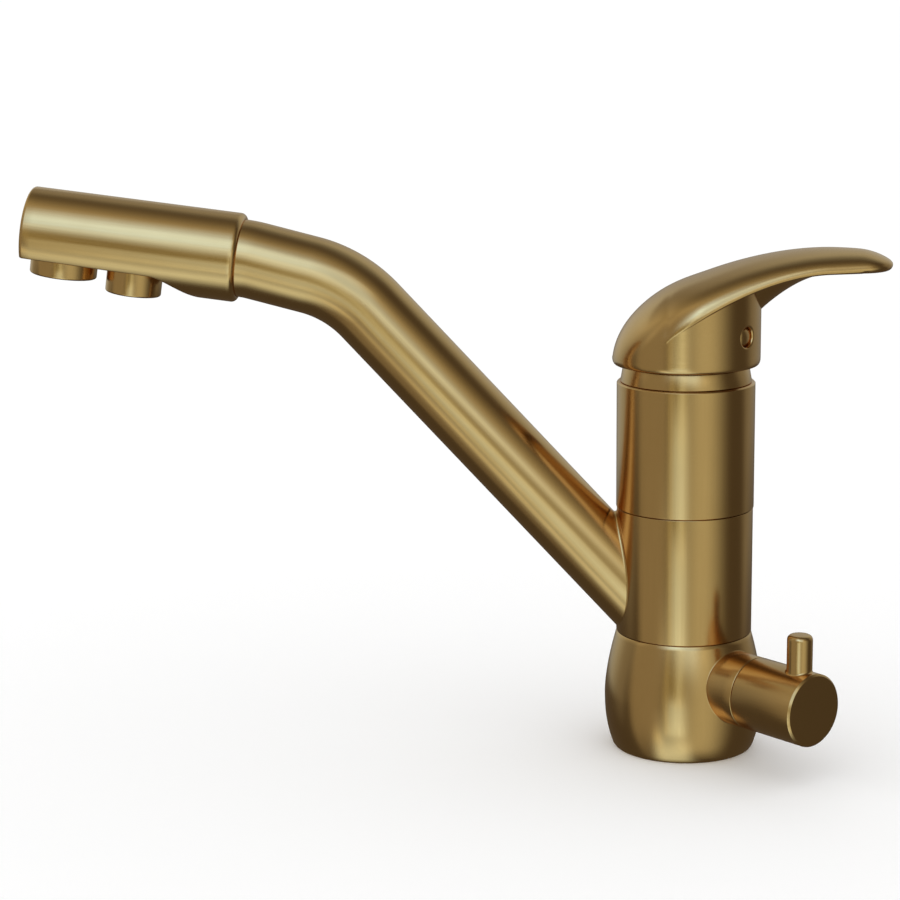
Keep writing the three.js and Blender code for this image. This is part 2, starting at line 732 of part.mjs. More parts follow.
function leverHandle() {
  const wing = lofted(wingStart, wingReach, wingOverhang, wingUnderside, topHeight);
  const underCrown = lofted(-skirtRadius, skirtRadius, 0, () => rimHeight - overshoot, topHeight);
  const roundShare = 1 - Math.SQRT1_2; // of a quarter round, halfway along it
  const skirt = turned([
    [0, rimHeight], [skirtRadius - skirtRimRounding, rimHeight],
    [skirtRadius - roundShare * skirtRimRounding, rimHeight + roundShare * skirtRimRise],
    [skirtRadius, rimHeight + skirtRimRise],
    [skirtRadius, rimHeight + wingPeakHeight], [0, rimHeight + wingPeakHeight],
  ]);
  const hollowRadius = skirtRadius - skirtWall;
  const hollowTop = rimHeight + skirtHollowDepth;
  const hollow = turned([
    [0, rimHeight - overshoot], [hollowRadius, rimHeight - overshoot],
    [hollowRadius, rimHeight + skirtStraightDepth], [skirtHollowTopRadius, hollowTop], [0, hollowTop],
  ]);
  const socketTop = pivotHeight + stemAbovePivot + clearance;
  const socket = prism(chamferedSquare(stemWidth / 2 + clearance, stemCornerChamfer),
    hollowTop - overshoot, socketTop);
  const screwHole = alongX(rod(setScrewRadius + clearance, 0, skirtRadius + overshoot, holeSegments));
  const plugHole = alongX(rod(plugRadius + clearance, skirtRadius - plugRecess - plugLength - clearance,
    skirtRadius + 2 * overshoot, smallSegments));
  const screwWay = joined(screwHole, plugHole).rotate([0, 0, setScrewAngle]);
  return cut(joined(skirt.intersect(underCrown), wing), hollow, socket,
    moved(screwWay, 0, 0, rimHeight + setScrewHeight));
}

function leverScrew(radius, from, to, segments) {
  const screw = alongX(rod(radius, from, to, segments)).rotate([0, 0, setScrewAngle]);
  return moved(screw, 0, 0, rimHeight + setScrewHeight);
}

const leverScrewTip = (stemWidth / 2) * Math.SQRT2 - stemCornerChamfer / 2 + clearance;
const plugEnd = skirtRadius - plugRecess;
addPiece(tap, "lever_handle", leverHandle(), bronze);
addPiece(tap, "lever_grub_screw",
  leverScrew(setScrewRadius, leverScrewTip, leverScrewTip + setScrewLength, holeSegments), steel);
addPiece(tap, "lever_plug", leverScrew(plugRadius, plugEnd - plugLength, plugEnd, smallSegments), bronze);

// ---- Spout ----

// The centre line in the X-Z plane: straight runs and bends, each from where the last one ends
function spoutLine(start, runs) {
  const line = new THREE.CurvePath();
  let place = start.clone();
  for (const run of runs) {
    if (run.bend === undefined) {
      const heading = radians(run.rise);
      const step = new THREE.Vector3(-Math.cos(heading), 0, Math.sin(heading));
      const end = place.clone().addScaledVector(step, run.length);
      line.add(new THREE.LineCurve3(place, end));
      place = end;
    } else {
      line.add(new SpoutBend(place, run.rise, run.to, run.bend));
      place = line.curves.at(-1).getPoint(1);
    }
  }
  return line;
}

class SpoutBend extends THREE.Curve {
  constructor(start, rise, to, radius) {
    super();
    Object.assign(this, { start, rise, to, radius });
  }

  getPoint(t, target = new THREE.Vector3()) {
    const first = radians(this.rise);
    const now = radians(THREE.MathUtils.lerp(this.rise, this.to, t));
    const out = this.radius * (Math.sin(first) - Math.sin(now));
    const up = this.radius * (Math.cos(now) - Math.cos(first));
    return target.set(this.start.x - out, 0, this.start.z + up);
  }
}

function rodAlong(line, radius, steps, sides) {
  const shape = new THREE.Shape().absarc(0, 0, radius, 0, 2 * Math.PI);
  const options = { steps, curveSegments: sides / 2, bevelEnabled: false, extrudePath: line };
  return solidFrom(new THREE.ExtrudeGeometry(shape, options));
}

const spoutBends = [
  { bend: spoutBendRadius, rise: spoutRise, to: spoutUpperRise },
  { rise: spoutUpperRise, length: spoutUpperStraight },
  { bend: spoutBendRadius, rise: spoutUpperRise, to: headRise },
];
const headOrigin = spoutLine(new THREE.Vector3(0, 0, spoutAxisHeight),
  [{ rise: spoutRise, length: spoutStraight }, ...spoutBends]).getPoint(1);

// Leaves out the first part of the straight run, inside the collar
function spoutLineFrom(startDistance, headDepth) {
  const rise = radians(spoutRise);
  const start = new THREE.Vector3(-startDistance * Math.cos(rise), 0,
    spoutAxisHeight + startDistance * Math.sin(rise));
  return spoutLine(start, [
    { rise: spoutRise, length: spoutStraight - startDistance },
    ...spoutBends,
    { rise: headRise, length: headDepth },
  ]);
}

const spout = new THREE.Group();
tap.add(spout);

// A tool along the straight part of the spout, offset upwards from its centre line
function alongSpout(radius, from, to, offset) {
  const tool = rod(radius, from, to, holeSegments).rotate([0, spoutRise - 90, 0]);
  const rise = radians(spoutRise);
  return moved(tool, offset * Math.sin(rise), 0, spoutAxisHeight + offset * Math.cos(rise));
}

function spoutCollar() {
  const bore = neckRadius + clearance;
  const ends = slipRecess(collarTop - slipRingThickness + clearance, collarTop + overshoot);
  const reach = 2 * bodyRadius;
  const body = cut(rod(bodyRadius, collarBottom, collarTop, bodySegments),
    rod(bore, collarBottom - overshoot, collarTop + overshoot, innerSegments));
  return cut(body, ends,
    alongSpout(filterTubeRadius + clearance, neckRadius / 2, reach, 0),
    alongSpout(mixedHoleRadius, neckRadius / 2, reach, mixedHoleOffset));
}

function spoutTube() {
  const line = (more) => spoutLineFrom(bodyRadius / 2 - more, headSocketDepth - clearance + more);
  const outside = rodAlong(line(0), spoutRadius, spoutSteps, spoutSegments);
  const inside = rodAlong(line(overshoot), spoutRadius - spoutWall, spoutSteps / 2, spoutSegments / 2);
  return cut(outside, inside, rod(bodyRadius + clearance, 0, upperTop, bodySegments));
}

function filterWaterTube() {
  const start = (neckRadius + 2 * clearance) / Math.cos(radians(spoutRise)) + filterTubeRadius;
  const end = filterAerator.distance - adapterRadius + tubeInAdapter;
  const line = (more) => spoutLineFrom(start - more, end + more);
  const outside = rodAlong(line(0), filterTubeRadius, spoutSteps, holeSegments);
  const inside = rodAlong(line(overshoot), filterTubeRadius - filterTubeWall, spoutSteps, holeSegments / 2);
  return cut(outside, inside);
}

addPiece(spout, "spout_collar", spoutCollar(), bronze);
addPiece(spout, "spout_tube", spoutTube(), bronze);
addPiece(spout, "filter_water_tube", filterWaterTube(), whitePlastic);

// ---- Outlet head, in its own frame: the rim at the origin and the head along -X ----

const head = new THREE.Group();
head.position.copy(headOrigin);
head.rotation.y = radians(headRise);
spout.add(head);

// The flat underside and the scooped run-out that leads into it
function underCut() {
  const run = flatStart - scoopStart;
  const drop = headRadius - headFlatDepth;
  const endRise = (headLength + overshoot - flatStart) * Math.tan(radians(headFlatTilt));
  const outline = [[-headLength - overshoot, endRise - headFlatDepth]];
  for (let i = 0; i <= scoopSteps; i += 1) {
    const along = (run * i) / scoopSteps;
    outline.push([along - flatStart, -headFlatDepth - drop * THREE.MathUtils.smoothstep(along, 0, run)]);
  }
  outline.push([-scoopStart, -2 * headRadius], [-headLength - overshoot, -2 * headRadius]);
  return prism(outline, -2 * headRadius, 2 * headRadius).rotate([90, 0, 0]);
}

function ledge(aerator) {
  const adapter = aerator === filterAerator ? adapterFlangeThickness + clearance : 0;
  return -headFlatDepth - clearance + aerator.threadLength + aerator.washerThickness
    + 2 * clearance + adapter;
}

// Tilts a piece that is built below the flat's start so that it stands square on the flat
function onFlat(solid, aerator) {
  const tilt = radians(headFlatTilt);
  const along = aerator.distance - flatStart;
  return moved(moved(solid, 0, 0, headFlatDepth).rotate([0, headFlatTilt, 0]),
    -flatStart - along, 0, along * Math.tan(tilt) - headFlatDepth);
}

function aeratorSocket(aerator) {
  const socket = rod(aerator.threadRadius + clearance, -headFlatDepth - overshoot, ledge(aerator),
    innerSegments);
  const seat = rod(aerator.radius + clearance, -2 * headFlatDepth, -headFlatDepth, innerSegments);
  const way = rod(aerator.wayRadius, ledge(aerator) - overshoot, chamberRaise, smallSegments);
  return onFlat(joined(socket, seat, way), aerator);
}

// Two points of a quarter round between a cylinder and its end face
function rounded(radius, height, size, side) {
  return [30, 60].map((angle) => [
    radius + size * Math.cos(radians(angle)), height + side * size * Math.sin(radians(angle)),
  ]);
}

function outletHead() {
  const rim = headRadius - headRimRounding;
  const end = headLength - headEndRounding;
  const outside = alongMinusX(turned([
    [0, 0], [rim, 0], ...rounded(rim, headRimRounding, headRimRounding, -1).reverse(),
    [headRadius, end], ...rounded(headRadius - headEndRounding, end, headEndRounding, 1),
    [headRadius - headEndRounding, headLength], [0, headLength],
  ]));
  const socketEnd = headSocketDepth + headSealThickness + clearance;
  const socket = alongMinusX(rod(spoutRadius + clearance, -overshoot, socketEnd, socketSegments));
  const chamber = alongMinusX(rod(chamberRadius, 0, headLength - chamberEndWall, innerSegments));
  return cut(outside, underCut(), socket, moved(chamber, 0, 0, chamberRaise),
    aeratorSocket(mainAerator), aeratorSocket(filterAerator));
}

function aeratorHousing(aerator) {
  const shoulder = -headFlatDepth - clearance;
  const bottom = -headFlatDepth - aerator.stand;
  const lip = aerator.boreRadius - insertLip;
  const housing = turned([
    [lip, bottom], [aerator.radius - aeratorEdge, bottom], [aerator.radius, bottom + aeratorEdge],
    [aerator.radius, shoulder], [aerator.threadRadius, shoulder],
    [aerator.threadRadius, shoulder + aerator.threadLength],
    [aerator.boreRadius, shoulder + aerator.threadLength],
    [aerator.boreRadius, bottom + insertRecess - clearance], [lip, bottom + insertRecess - clearance],
    [lip, bottom],
  ], innerSegments);
  return onFlat(housing, aerator);
}

function aeratorInsert(aerator) {
  const bottom = -headFlatDepth - aerator.stand + insertRecess;
  const top = -headFlatDepth + aerator.threadLength - 2 * clearance;
  const radius = aerator.boreRadius - clearance;
  const hole = rod(aerator.holeRadius, bottom - overshoot, top + overshoot, tinySegments);
  const holes = [0, 60, 120, 180, 240, 300].map((angle) => polar(hole, aerator.holeDistance, angle));
  return onFlat(cut(rod(radius, bottom, top, innerSegments), hole, ...holes), aerator);
}

function aeratorWasher(aerator) {
  const bottom = -headFlatDepth + aerator.threadLength;
  const washer = ring(aerator.wayRadius, aerator.threadRadius - clearance, bottom,
    bottom + aerator.washerThickness, smallSegments);
  return onFlat(washer, aerator);
}

// Closes the filter socket towards the mixed water and takes the end of the inner tube
function filterOutletAdapter() {
  const top = ledge(filterAerator) - clearance;
  const bottom = top - adapterFlangeThickness;
  const body = joined(rod(filterAerator.threadRadius - clearance, bottom, top, innerSegments),
    rod(adapterRadius, top - overshoot, adapterRadius, smallSegments));
  const down = rod(filterWayRadius, bottom - overshoot, 0, holeSegments);
  const tubeSocket = alongX(rod(filterTubeRadius + clearance, 0, 2 * adapterRadius, holeSegments));
  const wayIn = alongX(rod(filterTubeRadius - filterTubeWall, 0, 2 * adapterRadius, holeSegments));
  const socketStart = adapterRadius - tubeInAdapter - clearance;
  return onFlat(cut(body, down, wayIn, moved(tubeSocket, socketStart, 0, 0)), filterAerator);
}

addPiece(head, "outlet_head", outletHead(), bronze);
addPiece(head, "head_seal", alongMinusX(ring(chamberRadius + chamberRaise + headSealMargin,
  spoutRadius - clearance, headSocketDepth, headSocketDepth + headSealThickness)), rubber);
for (const aerator of [mainAerator, filterAerator]) {
  addPiece(head, `${aerator.name}_housing`, aeratorHousing(aerator), bronze);
  addPiece(head, `${aerator.name}_insert`, aeratorInsert(aerator), greyPlastic);
  addPiece(head, `${aerator.name}_washer`, aeratorWasher(aerator), rubber);
}
addPiece(head, "filter_outlet_adapter", filterOutletAdapter(), whitePlastic);

// ---- Filter valve, in its own frame: +X is the way out of the base ----

const valve = new THREE.Group();
valve.position.z = valveHeight;
valve.rotation.z = radians(valveAngle);
tap.add(valve);

const knobStart = stubReach + bodySeam;
const knobEnd = knobStart + knobLength;
const discStart = valveBoreEnd + valveSealThickness + 3 * clearance;
const turningDiscStart = discStart + valveDiscThickness + clearance;
const spindleStart = turningDiscStart + valveDiscThickness + clearance;
const spindleEnd = knobStart + knobHollowDepth + knobGrip;
const headworkSealPlace = stubReach - headworkSealDepth;

function valveHeadwork() {
  const start = valveBoreEnd + valveSealThickness + 2 * clearance;
  const end = knobStart + headworkInKnob;
  const outer = valveBoreRadius - clearance;
  const groove = headworkSealSection / 2 + clearance / 2;
  const discBore = valveDiscRadius + clearance;
  const spindleBore = spindleRadius + clearance;
  const waist = discBore + headworkWall;
  const windowPlace = spindleStart + 2 * filterWayRadius;
  const waistEnd = windowPlace + filterWayRadius + headworkWall;
  const body = turned([
    [discBore, start], [waist, start], [waist, waistEnd], [outer, waistEnd],
    [outer, headworkSealPlace - groove], [outer - headworkSealSection, headworkSealPlace - groove],
    [outer - headworkSealSection, headworkSealPlace + groove], [outer, headworkSealPlace + groove],
    [outer, end], [spindleBore, end], [spindleBore, spindleStart], [discBore, spindleStart],
    [discBore, start],
  ], smallSegments);
  const window = rod(filterWayRadius, -2 * outer, 2 * outer, holeSegments).rotate([90, 0, 0]);
  return cut(alongX(body), moved(window, windowPlace, 0, 0));
}

function valveDisc(start) {
  const disc = rod(valveDiscRadius, start, start + valveDiscThickness);
  const port = rod(valveDiscPortRadius, start - overshoot, start + valveDiscThickness + overshoot,
    holeSegments);
  return alongX(cut(disc, moved(port, valveDiscRadius / 2, 0, 0)));
}

function valveSpindle() {
  return alongX(rod(spindleRadius, spindleStart, spindleEnd, holeSegments));
}

function valveKnob() {
  const hollowEnd = knobStart + knobHollowDepth;
  const hub = spindleRadius + clearance;
  const body = alongX(turned([
    [knobHollowRadius, knobStart], [valveRadius - knobBevel, knobStart],
    [valveRadius, knobStart + knobBevel], [valveRadius, knobEnd - knobBevel],
    [valveRadius - knobBevel, knobEnd], [0, knobEnd], [0, spindleEnd + clearance],
    [hub, spindleEnd + clearance], [hub, hollowEnd], [knobHollowRadius, hollowEnd],
    [knobHollowRadius, knobStart],
  ], valveSegments));
  const spigotHole = rod(pinSpigotRadius + clearance,
    valveRadius - pinSpigotLength - 2 * clearance, valveRadius + overshoot, holeSegments);
  const screwHole = rod(knobScrewRadius + clearance, -valveRadius - overshoot, 0, holeSegments);
  return cut(body, moved(spigotHole, knobStart + pinDistance, 0, 0),
    moved(screwHole, knobStart + knobScrewDistance, 0, 0));
}

function knobPin() {
  const top = valveRadius + pinStand;
  const bevel = (1 - Math.SQRT1_2) * pinTopRounding;
  const pin = turned([
    [0, 0], [pinRadius, 0], [pinRadius, top - pinTopRounding],
    [pinRadius - bevel, top - bevel], [pinRadius - pinTopRounding, top], [0, top],
  ], smallSegments);
  const seat = alongX(rod(valveRadius + clearance, -2 * pinRadius, 2 * pinRadius, seatSegments));
  const spigot = rod(pinSpigotRadius, valveRadius - pinSpigotLength, valveRadius + overshoot, holeSegments);
  return moved(joined(cut(pin, seat), spigot), knobStart + pinDistance, 0, 0);
}

function knobGrubScrew() {
  const screw = rod(knobScrewRadius, knobScrewRecess - valveRadius, -spindleRadius - clearance, holeSegments);
  return moved(screw, knobStart + knobScrewDistance, 0, 0);
}

const sealStart = valveBoreEnd + clearance;
addPiece(valve, "valve_seal", alongX(ring(valveSealBore, valveBoreRadius - clearance, sealStart,
  sealStart + valveSealThickness)), rubber);
addPiece(valve, "valve_fixed_disc", valveDisc(discStart), ceramic);
addPiece(valve, "valve_turning_disc", valveDisc(turningDiscStart), ceramic);
addPiece(valve, "valve_headwork", valveHeadwork(), brass);
addPiece(valve, "headwork_o_ring", alongX(roundRing(valveBoreRadius - clearance - headworkSealSection / 2
  + clearance / 4, headworkSealSection - clearance / 2, headworkSealPlace)), rubber);
addPiece(valve, "valve_spindle", valveSpindle(), brass);
addPiece(valve, "valve_knob", valveKnob(), bronze);
addPiece(valve, "knob_pin", knobPin(), bronze);
addPiece(valve, "knob_grub_screw", knobGrubScrew(), steel);

export default tap;
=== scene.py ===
import json
from math import acos, atan2, cos, hypot, pi, radians, sin, sqrt, tan

import bmesh
import bpy
import numpy as np
from mathutils import Matrix, Vector


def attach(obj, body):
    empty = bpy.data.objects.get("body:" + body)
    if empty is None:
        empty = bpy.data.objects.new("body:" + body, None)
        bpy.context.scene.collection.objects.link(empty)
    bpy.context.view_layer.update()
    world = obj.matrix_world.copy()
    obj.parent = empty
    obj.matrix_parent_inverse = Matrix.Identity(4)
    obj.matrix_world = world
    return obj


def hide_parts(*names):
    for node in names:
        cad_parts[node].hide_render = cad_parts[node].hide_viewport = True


# A three way filtered water tap in satin bronze. Sizes are in millimetres, as in the CAD model,
# and become metres where a mesh is made. The spout points along -X and the lever along +X.

mm = 0.001
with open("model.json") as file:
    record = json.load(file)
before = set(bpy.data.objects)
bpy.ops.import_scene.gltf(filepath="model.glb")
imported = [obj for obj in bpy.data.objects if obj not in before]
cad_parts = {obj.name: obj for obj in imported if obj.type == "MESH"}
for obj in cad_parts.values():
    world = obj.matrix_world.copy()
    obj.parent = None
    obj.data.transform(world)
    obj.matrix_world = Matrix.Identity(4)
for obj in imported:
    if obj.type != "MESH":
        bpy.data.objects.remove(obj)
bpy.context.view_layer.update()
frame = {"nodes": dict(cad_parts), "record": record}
print("frame loaded:", len(frame["nodes"]), "nodes")

# sizes that several pieces share

clearance = 0.3
body = {
    "radius": 24.5,
    "collarBottom": 43.46,
    "collarTop": 89.16,
    "upperBottom": 89.5,
    "upperTop": 135.1,
    "upperRadius": 24.74,
    "neckRadius": 17.5,
    "neckTop": 98.04,
    "slipRadii": (18.5, 22.7),  # of the grooves that hold the slip rings
    "slipFloor": 87.94,  # of the upper groove
    "seamEdge": 0.2,  # softness of the edges along the seams
    "lipRadius": 23.2,  # of the lip that stands in each seam
    "lipRise": 0.2,
    "segments": 160,
}
spoutPath = {
    "radius": 14.0,
    "sides": 112,
    "rise": 46.82,  # of the long straight run, in degrees
    "axisHeight": 39.02,
    "start": 21.0,
    "straight": 165.85,
    "straightSteps": 40,
    "bendRadius": 44.8,
    "bendStep": 1.23,  # degrees
    "upperRise": 14.4,
    "upperStraight": 19.9,
    "upperSteps": 6,
    "headRise": 7.29,
    "intoHead": 7.7,
}
valve = {"height": 27.0, "angle": -45.0, "radius": 13.0, "stubReach": 36.35, "seam": 0.3}


def turnAbout(axis, degrees):
    return Matrix.Rotation(radians(degrees), 4, axis)


def shiftBy(x, y, z):
    return Matrix.Translation((x, y, z))


def pathPoint(place, rise, length):
    angle = radians(rise)
    return (place[0] - length * cos(angle), place[1] + length * sin(angle))


def bendPoint(place, rise, now, radius):
    first, last = radians(rise), radians(now)
    return (
        place[0] - radius * (sin(first) - sin(last)),
        place[1] + radius * (cos(last) - cos(first)),
    )


def spoutCentreLine(p):
    foot, long, count = (0.0, p["axisHeight"]), p["straight"] - p["start"], p["straightSteps"]
    points = [pathPoint(foot, p["rise"], p["start"] + long * i / count) for i in range(count + 1)]
    for fromRise, toRise, run in (
        (p["rise"], p["upperRise"], p["upperStraight"]),
        (p["upperRise"], p["headRise"], p["intoHead"]),
    ):
        place = points[-1]
        steps = round((fromRise - toRise) / p["bendStep"])
        for i in range(1, steps + 1):
            now = fromRise + (toRise - fromRise) * i / steps
            points.append(bendPoint(place, fromRise, now, p["bendRadius"]))
        bendEnd = points[-1]
        for i in range(1, p["upperSteps"] + 1):
            points.append(pathPoint(bendEnd, toRise, run * i / p["upperSteps"]))
    return points, bendEnd


spoutLine, headOrigin = spoutCentreLine(spoutPath)
headFrame = shiftBy(headOrigin[0], 0, headOrigin[1]) @ turnAbout("Y", spoutPath["headRise"])
valveFrame = shiftBy(0, 0, valve["height"]) @ turnAbout("Z", valve["angle"])
upToOut = turnAbout("Y", 90)  # a piece's own Z to +X
upToBack = turnAbout("Y", -90)  # and to -X
asBuilt = Matrix.Identity(4)


def softProfile(corners, steps=5, loop=False):
    # corners are (radius, height) or (radius, height, rounding)
    count = len(corners)
    points = []
    for i, corner in enumerate(corners):
        here = np.array(corner[:2], float)
        rounding = corner[2] if len(corner) > 2 else 0
        if rounding == 0 or (not loop and i in (0, count - 1)):
            points.append(here)
            continue
        before = np.array(corners[i - 1][:2], float) - here
        after = np.array(corners[(i + 1) % count][:2], float) - here
        lengths = np.linalg.norm(before), np.linalg.norm(after)
        before, after = before / lengths[0], after / lengths[1]
        half = acos(np.clip(before @ after, -1, 1)) / 2
        reach = min(rounding / tan(half), 0.49 * min(lengths))
        rounding = reach * tan(half)
        middle = (before + after) / np.linalg.norm(before + after)
        centre = here + middle * rounding / sin(half)
        first, last = here + before * reach - centre, here + after * reach - centre
        turn = atan2(first[0] * last[1] - first[1] * last[0], first @ last)
        for k in range(steps + 1):
            angle = turn * k / steps
            c, s = cos(angle), sin(angle)
            points.append(centre + (first[0] * c - first[1] * s, first[0] * s + first[1] * c))
    return points


def quarterTurn(steps):
    angles = [pi / 2 * k / steps for k in range(steps + 1)]
    return [(sin(a), cos(a)) for a in angles]


def roundPoint(radius, angle, height):
    return (radius * cos(angle), radius * sin(angle), height)


def turnedRings(profile, segments, begin=90.0):
    angles = np.radians(begin) + np.arange(segments) * 2 * np.pi / segments
    cosine, sine = np.cos(angles), np.sin(angles)
    return [np.stack([r * cosine, r * sine, np.full(segments, h)], 1) for r, h in profile]


def loft(rings, closed=True, loop=False):
    rings = np.array(rings, float)
    count, width = rings.shape[:2]
    faces = []
    for i in range(count if loop else count - 1):
        a, b = i * width, ((i + 1) % count) * width
        for j in range(width if closed else width - 1):
            k = (j + 1) % width
            faces.append((a + j, a + k, b + k, b + j))
    return rings.reshape(-1, 3), faces


def outward(points, faces):
    total = 0.0
    centre = points.mean(0)
    for face in faces:
        a = points[face[0]] - centre
        for k in range(1, len(face) - 1):
            total += a @ np.cross(points[face[k]] - centre, points[face[k + 1]] - centre)
    return faces if total > 0 else [tuple(reversed(face)) for face in faces]


def inFrame(points, matrix):
    turn = np.array(matrix.to_3x3())
    return np.asarray(points) @ turn.T + np.array(matrix.translation)


def addObject(name, data):
    item = bpy.data.objects.new(name, data)
    bpy.context.scene.collection.objects.link(item)
    return item


def cleanMesh(mesh, apart=1e-6, closed=False):
    bm = bmesh.new()
    bm.from_mesh(mesh)
    bmesh.ops.remove_doubles(bm, verts=bm.verts, dist=apart)
    if closed:
        bmesh.ops.dissolve_degenerate(bm, edges=bm.edges, dist=apart / 2)
        bmesh.ops.recalc_face_normals(bm, faces=bm.faces)
    bm.to_mesh(mesh)
    bm.free()


def makePiece(name, shells, rides, replaced=(), slot="bronze", sharp=38):
    # each shell is (points, faces, matrix): the grain of the brushing follows its own Z
    places, grain, faces = [], [], []
    for points, quads, matrix in shells:
        points = np.asarray(points, float)
        start = len(places)
        places.extend(inFrame(points, matrix) * mm)
        grain.extend(points * mm)
        faces.extend(tuple(start + k for k in face) for face in quads)
    mesh = bpy.data.meshes.new(name)
    mesh.from_pydata([tuple(p) for p in places], [], faces)
    attribute = mesh.attributes.new("grainPlace", "FLOAT_VECTOR", "POINT")
    attribute.data.foreach_set("vector", np.array(grain, np.float32).ravel())
    cleanMesh(mesh, 2e-7, closed=True)
    dress(mesh, name, rides, replaced, slot, sharp)


def dress(mesh, name, rides, replaced=(), slot="bronze", sharp=38):
    mesh.materials.clear()
    mesh.materials.append(outerFinishes[slot])
    mesh.shade_smooth()
    mesh.set_sharp_from_angle(angle=radians(sharp))
    piece = addObject(name, mesh)
    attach(piece, rides)
    if replaced:
        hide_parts(*replaced)


def turnedPiece(name, corners, rides, replaced, matrix=asBuilt, loop=False, segments=128,
                slot="bronze"):
    rings = turnedRings(softProfile(corners, loop=loop), segments)
    makePiece(name, [(*loft(rings, loop=loop), matrix)], rides, replaced, slot)


def nearestOnProfile(profile, place):
    # closest point of a [radius, height] line, and its distance, which is negative on the inside
    a, b = profile[:-1], profile[1:]
    run = b - a
    t = np.clip(((place - a) * run).sum(1) / np.maximum((run ** 2).sum(1), 1e-12), 0, 1)
    near = a + run * t[:, None]
    gaps = np.linalg.norm(near - place, axis=1)
    k = int(gaps.argmin())
    inside = place[0] < np.interp(place[1], profile[:, 1], profile[:, 0])
    return near[k], -gaps[k] if inside else gaps[k]


def rootRings(profile, foot, axis, radius, fillet, segments, search, steps=7):
    # rings of the hollow curve between a round branch and a turned body, from the body outwards:
    # a ball of the fillet's size rolls along both, and the first ring sinks into the body
    halvings, sink = 36, 0.03
    axis = np.array(axis, float) / np.linalg.norm(axis)
    side = np.cross(axis, (0, 0, 1.0)) if abs(axis[2]) < 0.9 else np.array((0, 1.0, 0))
    side /= np.linalg.norm(side)
    up = np.cross(side, axis)
    foot, profile = np.array(foot, float), np.array(profile, float)
    rings = np.zeros((steps + 1, segments, 3))
    for j in range(segments):
        angle = 2 * pi * j / segments
        away = side * cos(angle) + up * sin(angle)
        low, high = search
        for _ in range(halvings):
            middle = (low + high) / 2
            ball = foot + axis * middle + away * (radius + fillet)
            place = np.array((hypot(ball[0], ball[1]), ball[2]))
            near, gap = nearestOnProfile(profile, place)
            low, high = (middle, high) if gap < fillet else (low, middle)
        flat = np.array((ball[0], ball[1], 0)) / hypot(ball[0], ball[1])
        onBody = flat * near[0] + np.array((0, 0, near[1]))
        first = (onBody - ball) / np.linalg.norm(onBody - ball)
        last = -away
        between = acos(np.clip(first @ last, -1, 1))
        for i in range(steps + 1):
            t = i / steps
            blend = sin((1 - t) * between) * first + sin(t * between) * last
            size = fillet + (sink if i == 0 else 0)
            rings[i, j] = ball + blend / sin(between) * size
    return rings


def putNode(tree, kind, inputs=None, **settings):
    # an input is a socket to link or a value to set
    node = tree.nodes.new(kind)
    for key, value in settings.items():
        setattr(node, key, value)
    for key, value in (inputs or {}).items():
        if isinstance(value, bpy.types.NodeSocket):
            tree.links.new(value, node.inputs[key])
        else:
            node.inputs[key].default_value = value
    return node


def firstOut(*call, **settings):
    return putNode(*call, **settings).outputs[0]


def maths(tree, operation, *values):
    return firstOut(tree, "ShaderNodeMath", dict(enumerate(values)), operation=operation)


def vectorMaths(tree, operation, *values):
    return firstOut(tree, "ShaderNodeVectorMath", dict(enumerate(values)), operation=operation)


def mixColour(tree, factor, first, second):
    values = {"Factor": factor, "A": first, "B": second}
    return putNode(tree, "ShaderNodeMix", values, data_type="RGBA").outputs["Result"]


def spread(tree, noise, low, high):
    # noise lies mostly between a quarter and three quarters
    values = {"Value": noise, "From Min": 0.25, "From Max": 0.75, "To Min": low, "To Max": high}
    return firstOut(tree, "ShaderNodeMapRange", values)


def newTree(name, kind, inputs, outputs):
    # hands back the tree, the sockets that it is given and those that it fills
    tree = bpy.data.node_groups.new(name, kind)
    for way, sockets in (("INPUT", inputs), ("OUTPUT", outputs)):
        for label, socket in sockets.items():
            tree.interface.new_socket(label, in_out=way, socket_type="NodeSocket" + socket)
    given = tree.nodes.new("NodeGroupInput").outputs
    return tree, given, tree.nodes.new("NodeGroupOutput").inputs


def noise(tree, place, scale, detail=3.0, roughness=0.5):
    values = {"Vector": place, "Scale": scale, "Detail": detail, "Roughness": roughness}
    return firstOut(tree, "ShaderNodeTexNoise", values)


def brushedGrainGroup():
    tree, given, made = newTree(
        "brushedGrain",
        "ShaderNodeTree",
        {"Place": "Vector", "Across": "Float", "Along": "Float", "Cloud": "Float"},
        {"Streak": "Float", "Cloud": "Float"},
    )
    values = {"X": given["Across"], "Y": given["Across"], "Z": given["Along"]}
    stretch = firstOut(tree, "ShaderNodeCombineXYZ", values)
    drawn = vectorMaths(tree, "MULTIPLY", given["Place"], stretch)
    tree.links.new(noise(tree, drawn, 1.0, roughness=0.6), made["Streak"])
    tree.links.new(noise(tree, given["Place"], given["Cloud"]), made["Cloud"])
    return tree


def mouldedGrainGroup():
    tree, given, made = newTree(
        "mouldedGrain",
        "ShaderNodeTree",
        {"Place": "Vector", "Fine": "Float", "Broad": "Float"},
        {"Fine": "Float", "Broad": "Float"},
    )
    for label, detail in (("Fine", 3.0), ("Broad", 2.0)):
        tree.links.new(noise(tree, given["Place"], given[label], detail), made[label])
    return tree


def newMaterial(name):
    material = bpy.data.materials.new(name)
    material.use_nodes = True
    tree = material.node_tree
    return material, tree, tree.nodes["Principled BSDF"]


def linkShader(tree, shader, colour, rough, height, strength, depth=0.0001):
    values = {"Strength": strength, "Distance": depth, "Height": height}
    bump = firstOut(tree, "ShaderNodeBump", values)
    for label, socket in (("Base Color", colour), ("Roughness", rough), ("Normal", bump)):
        tree.links.new(socket, shader.inputs[label])


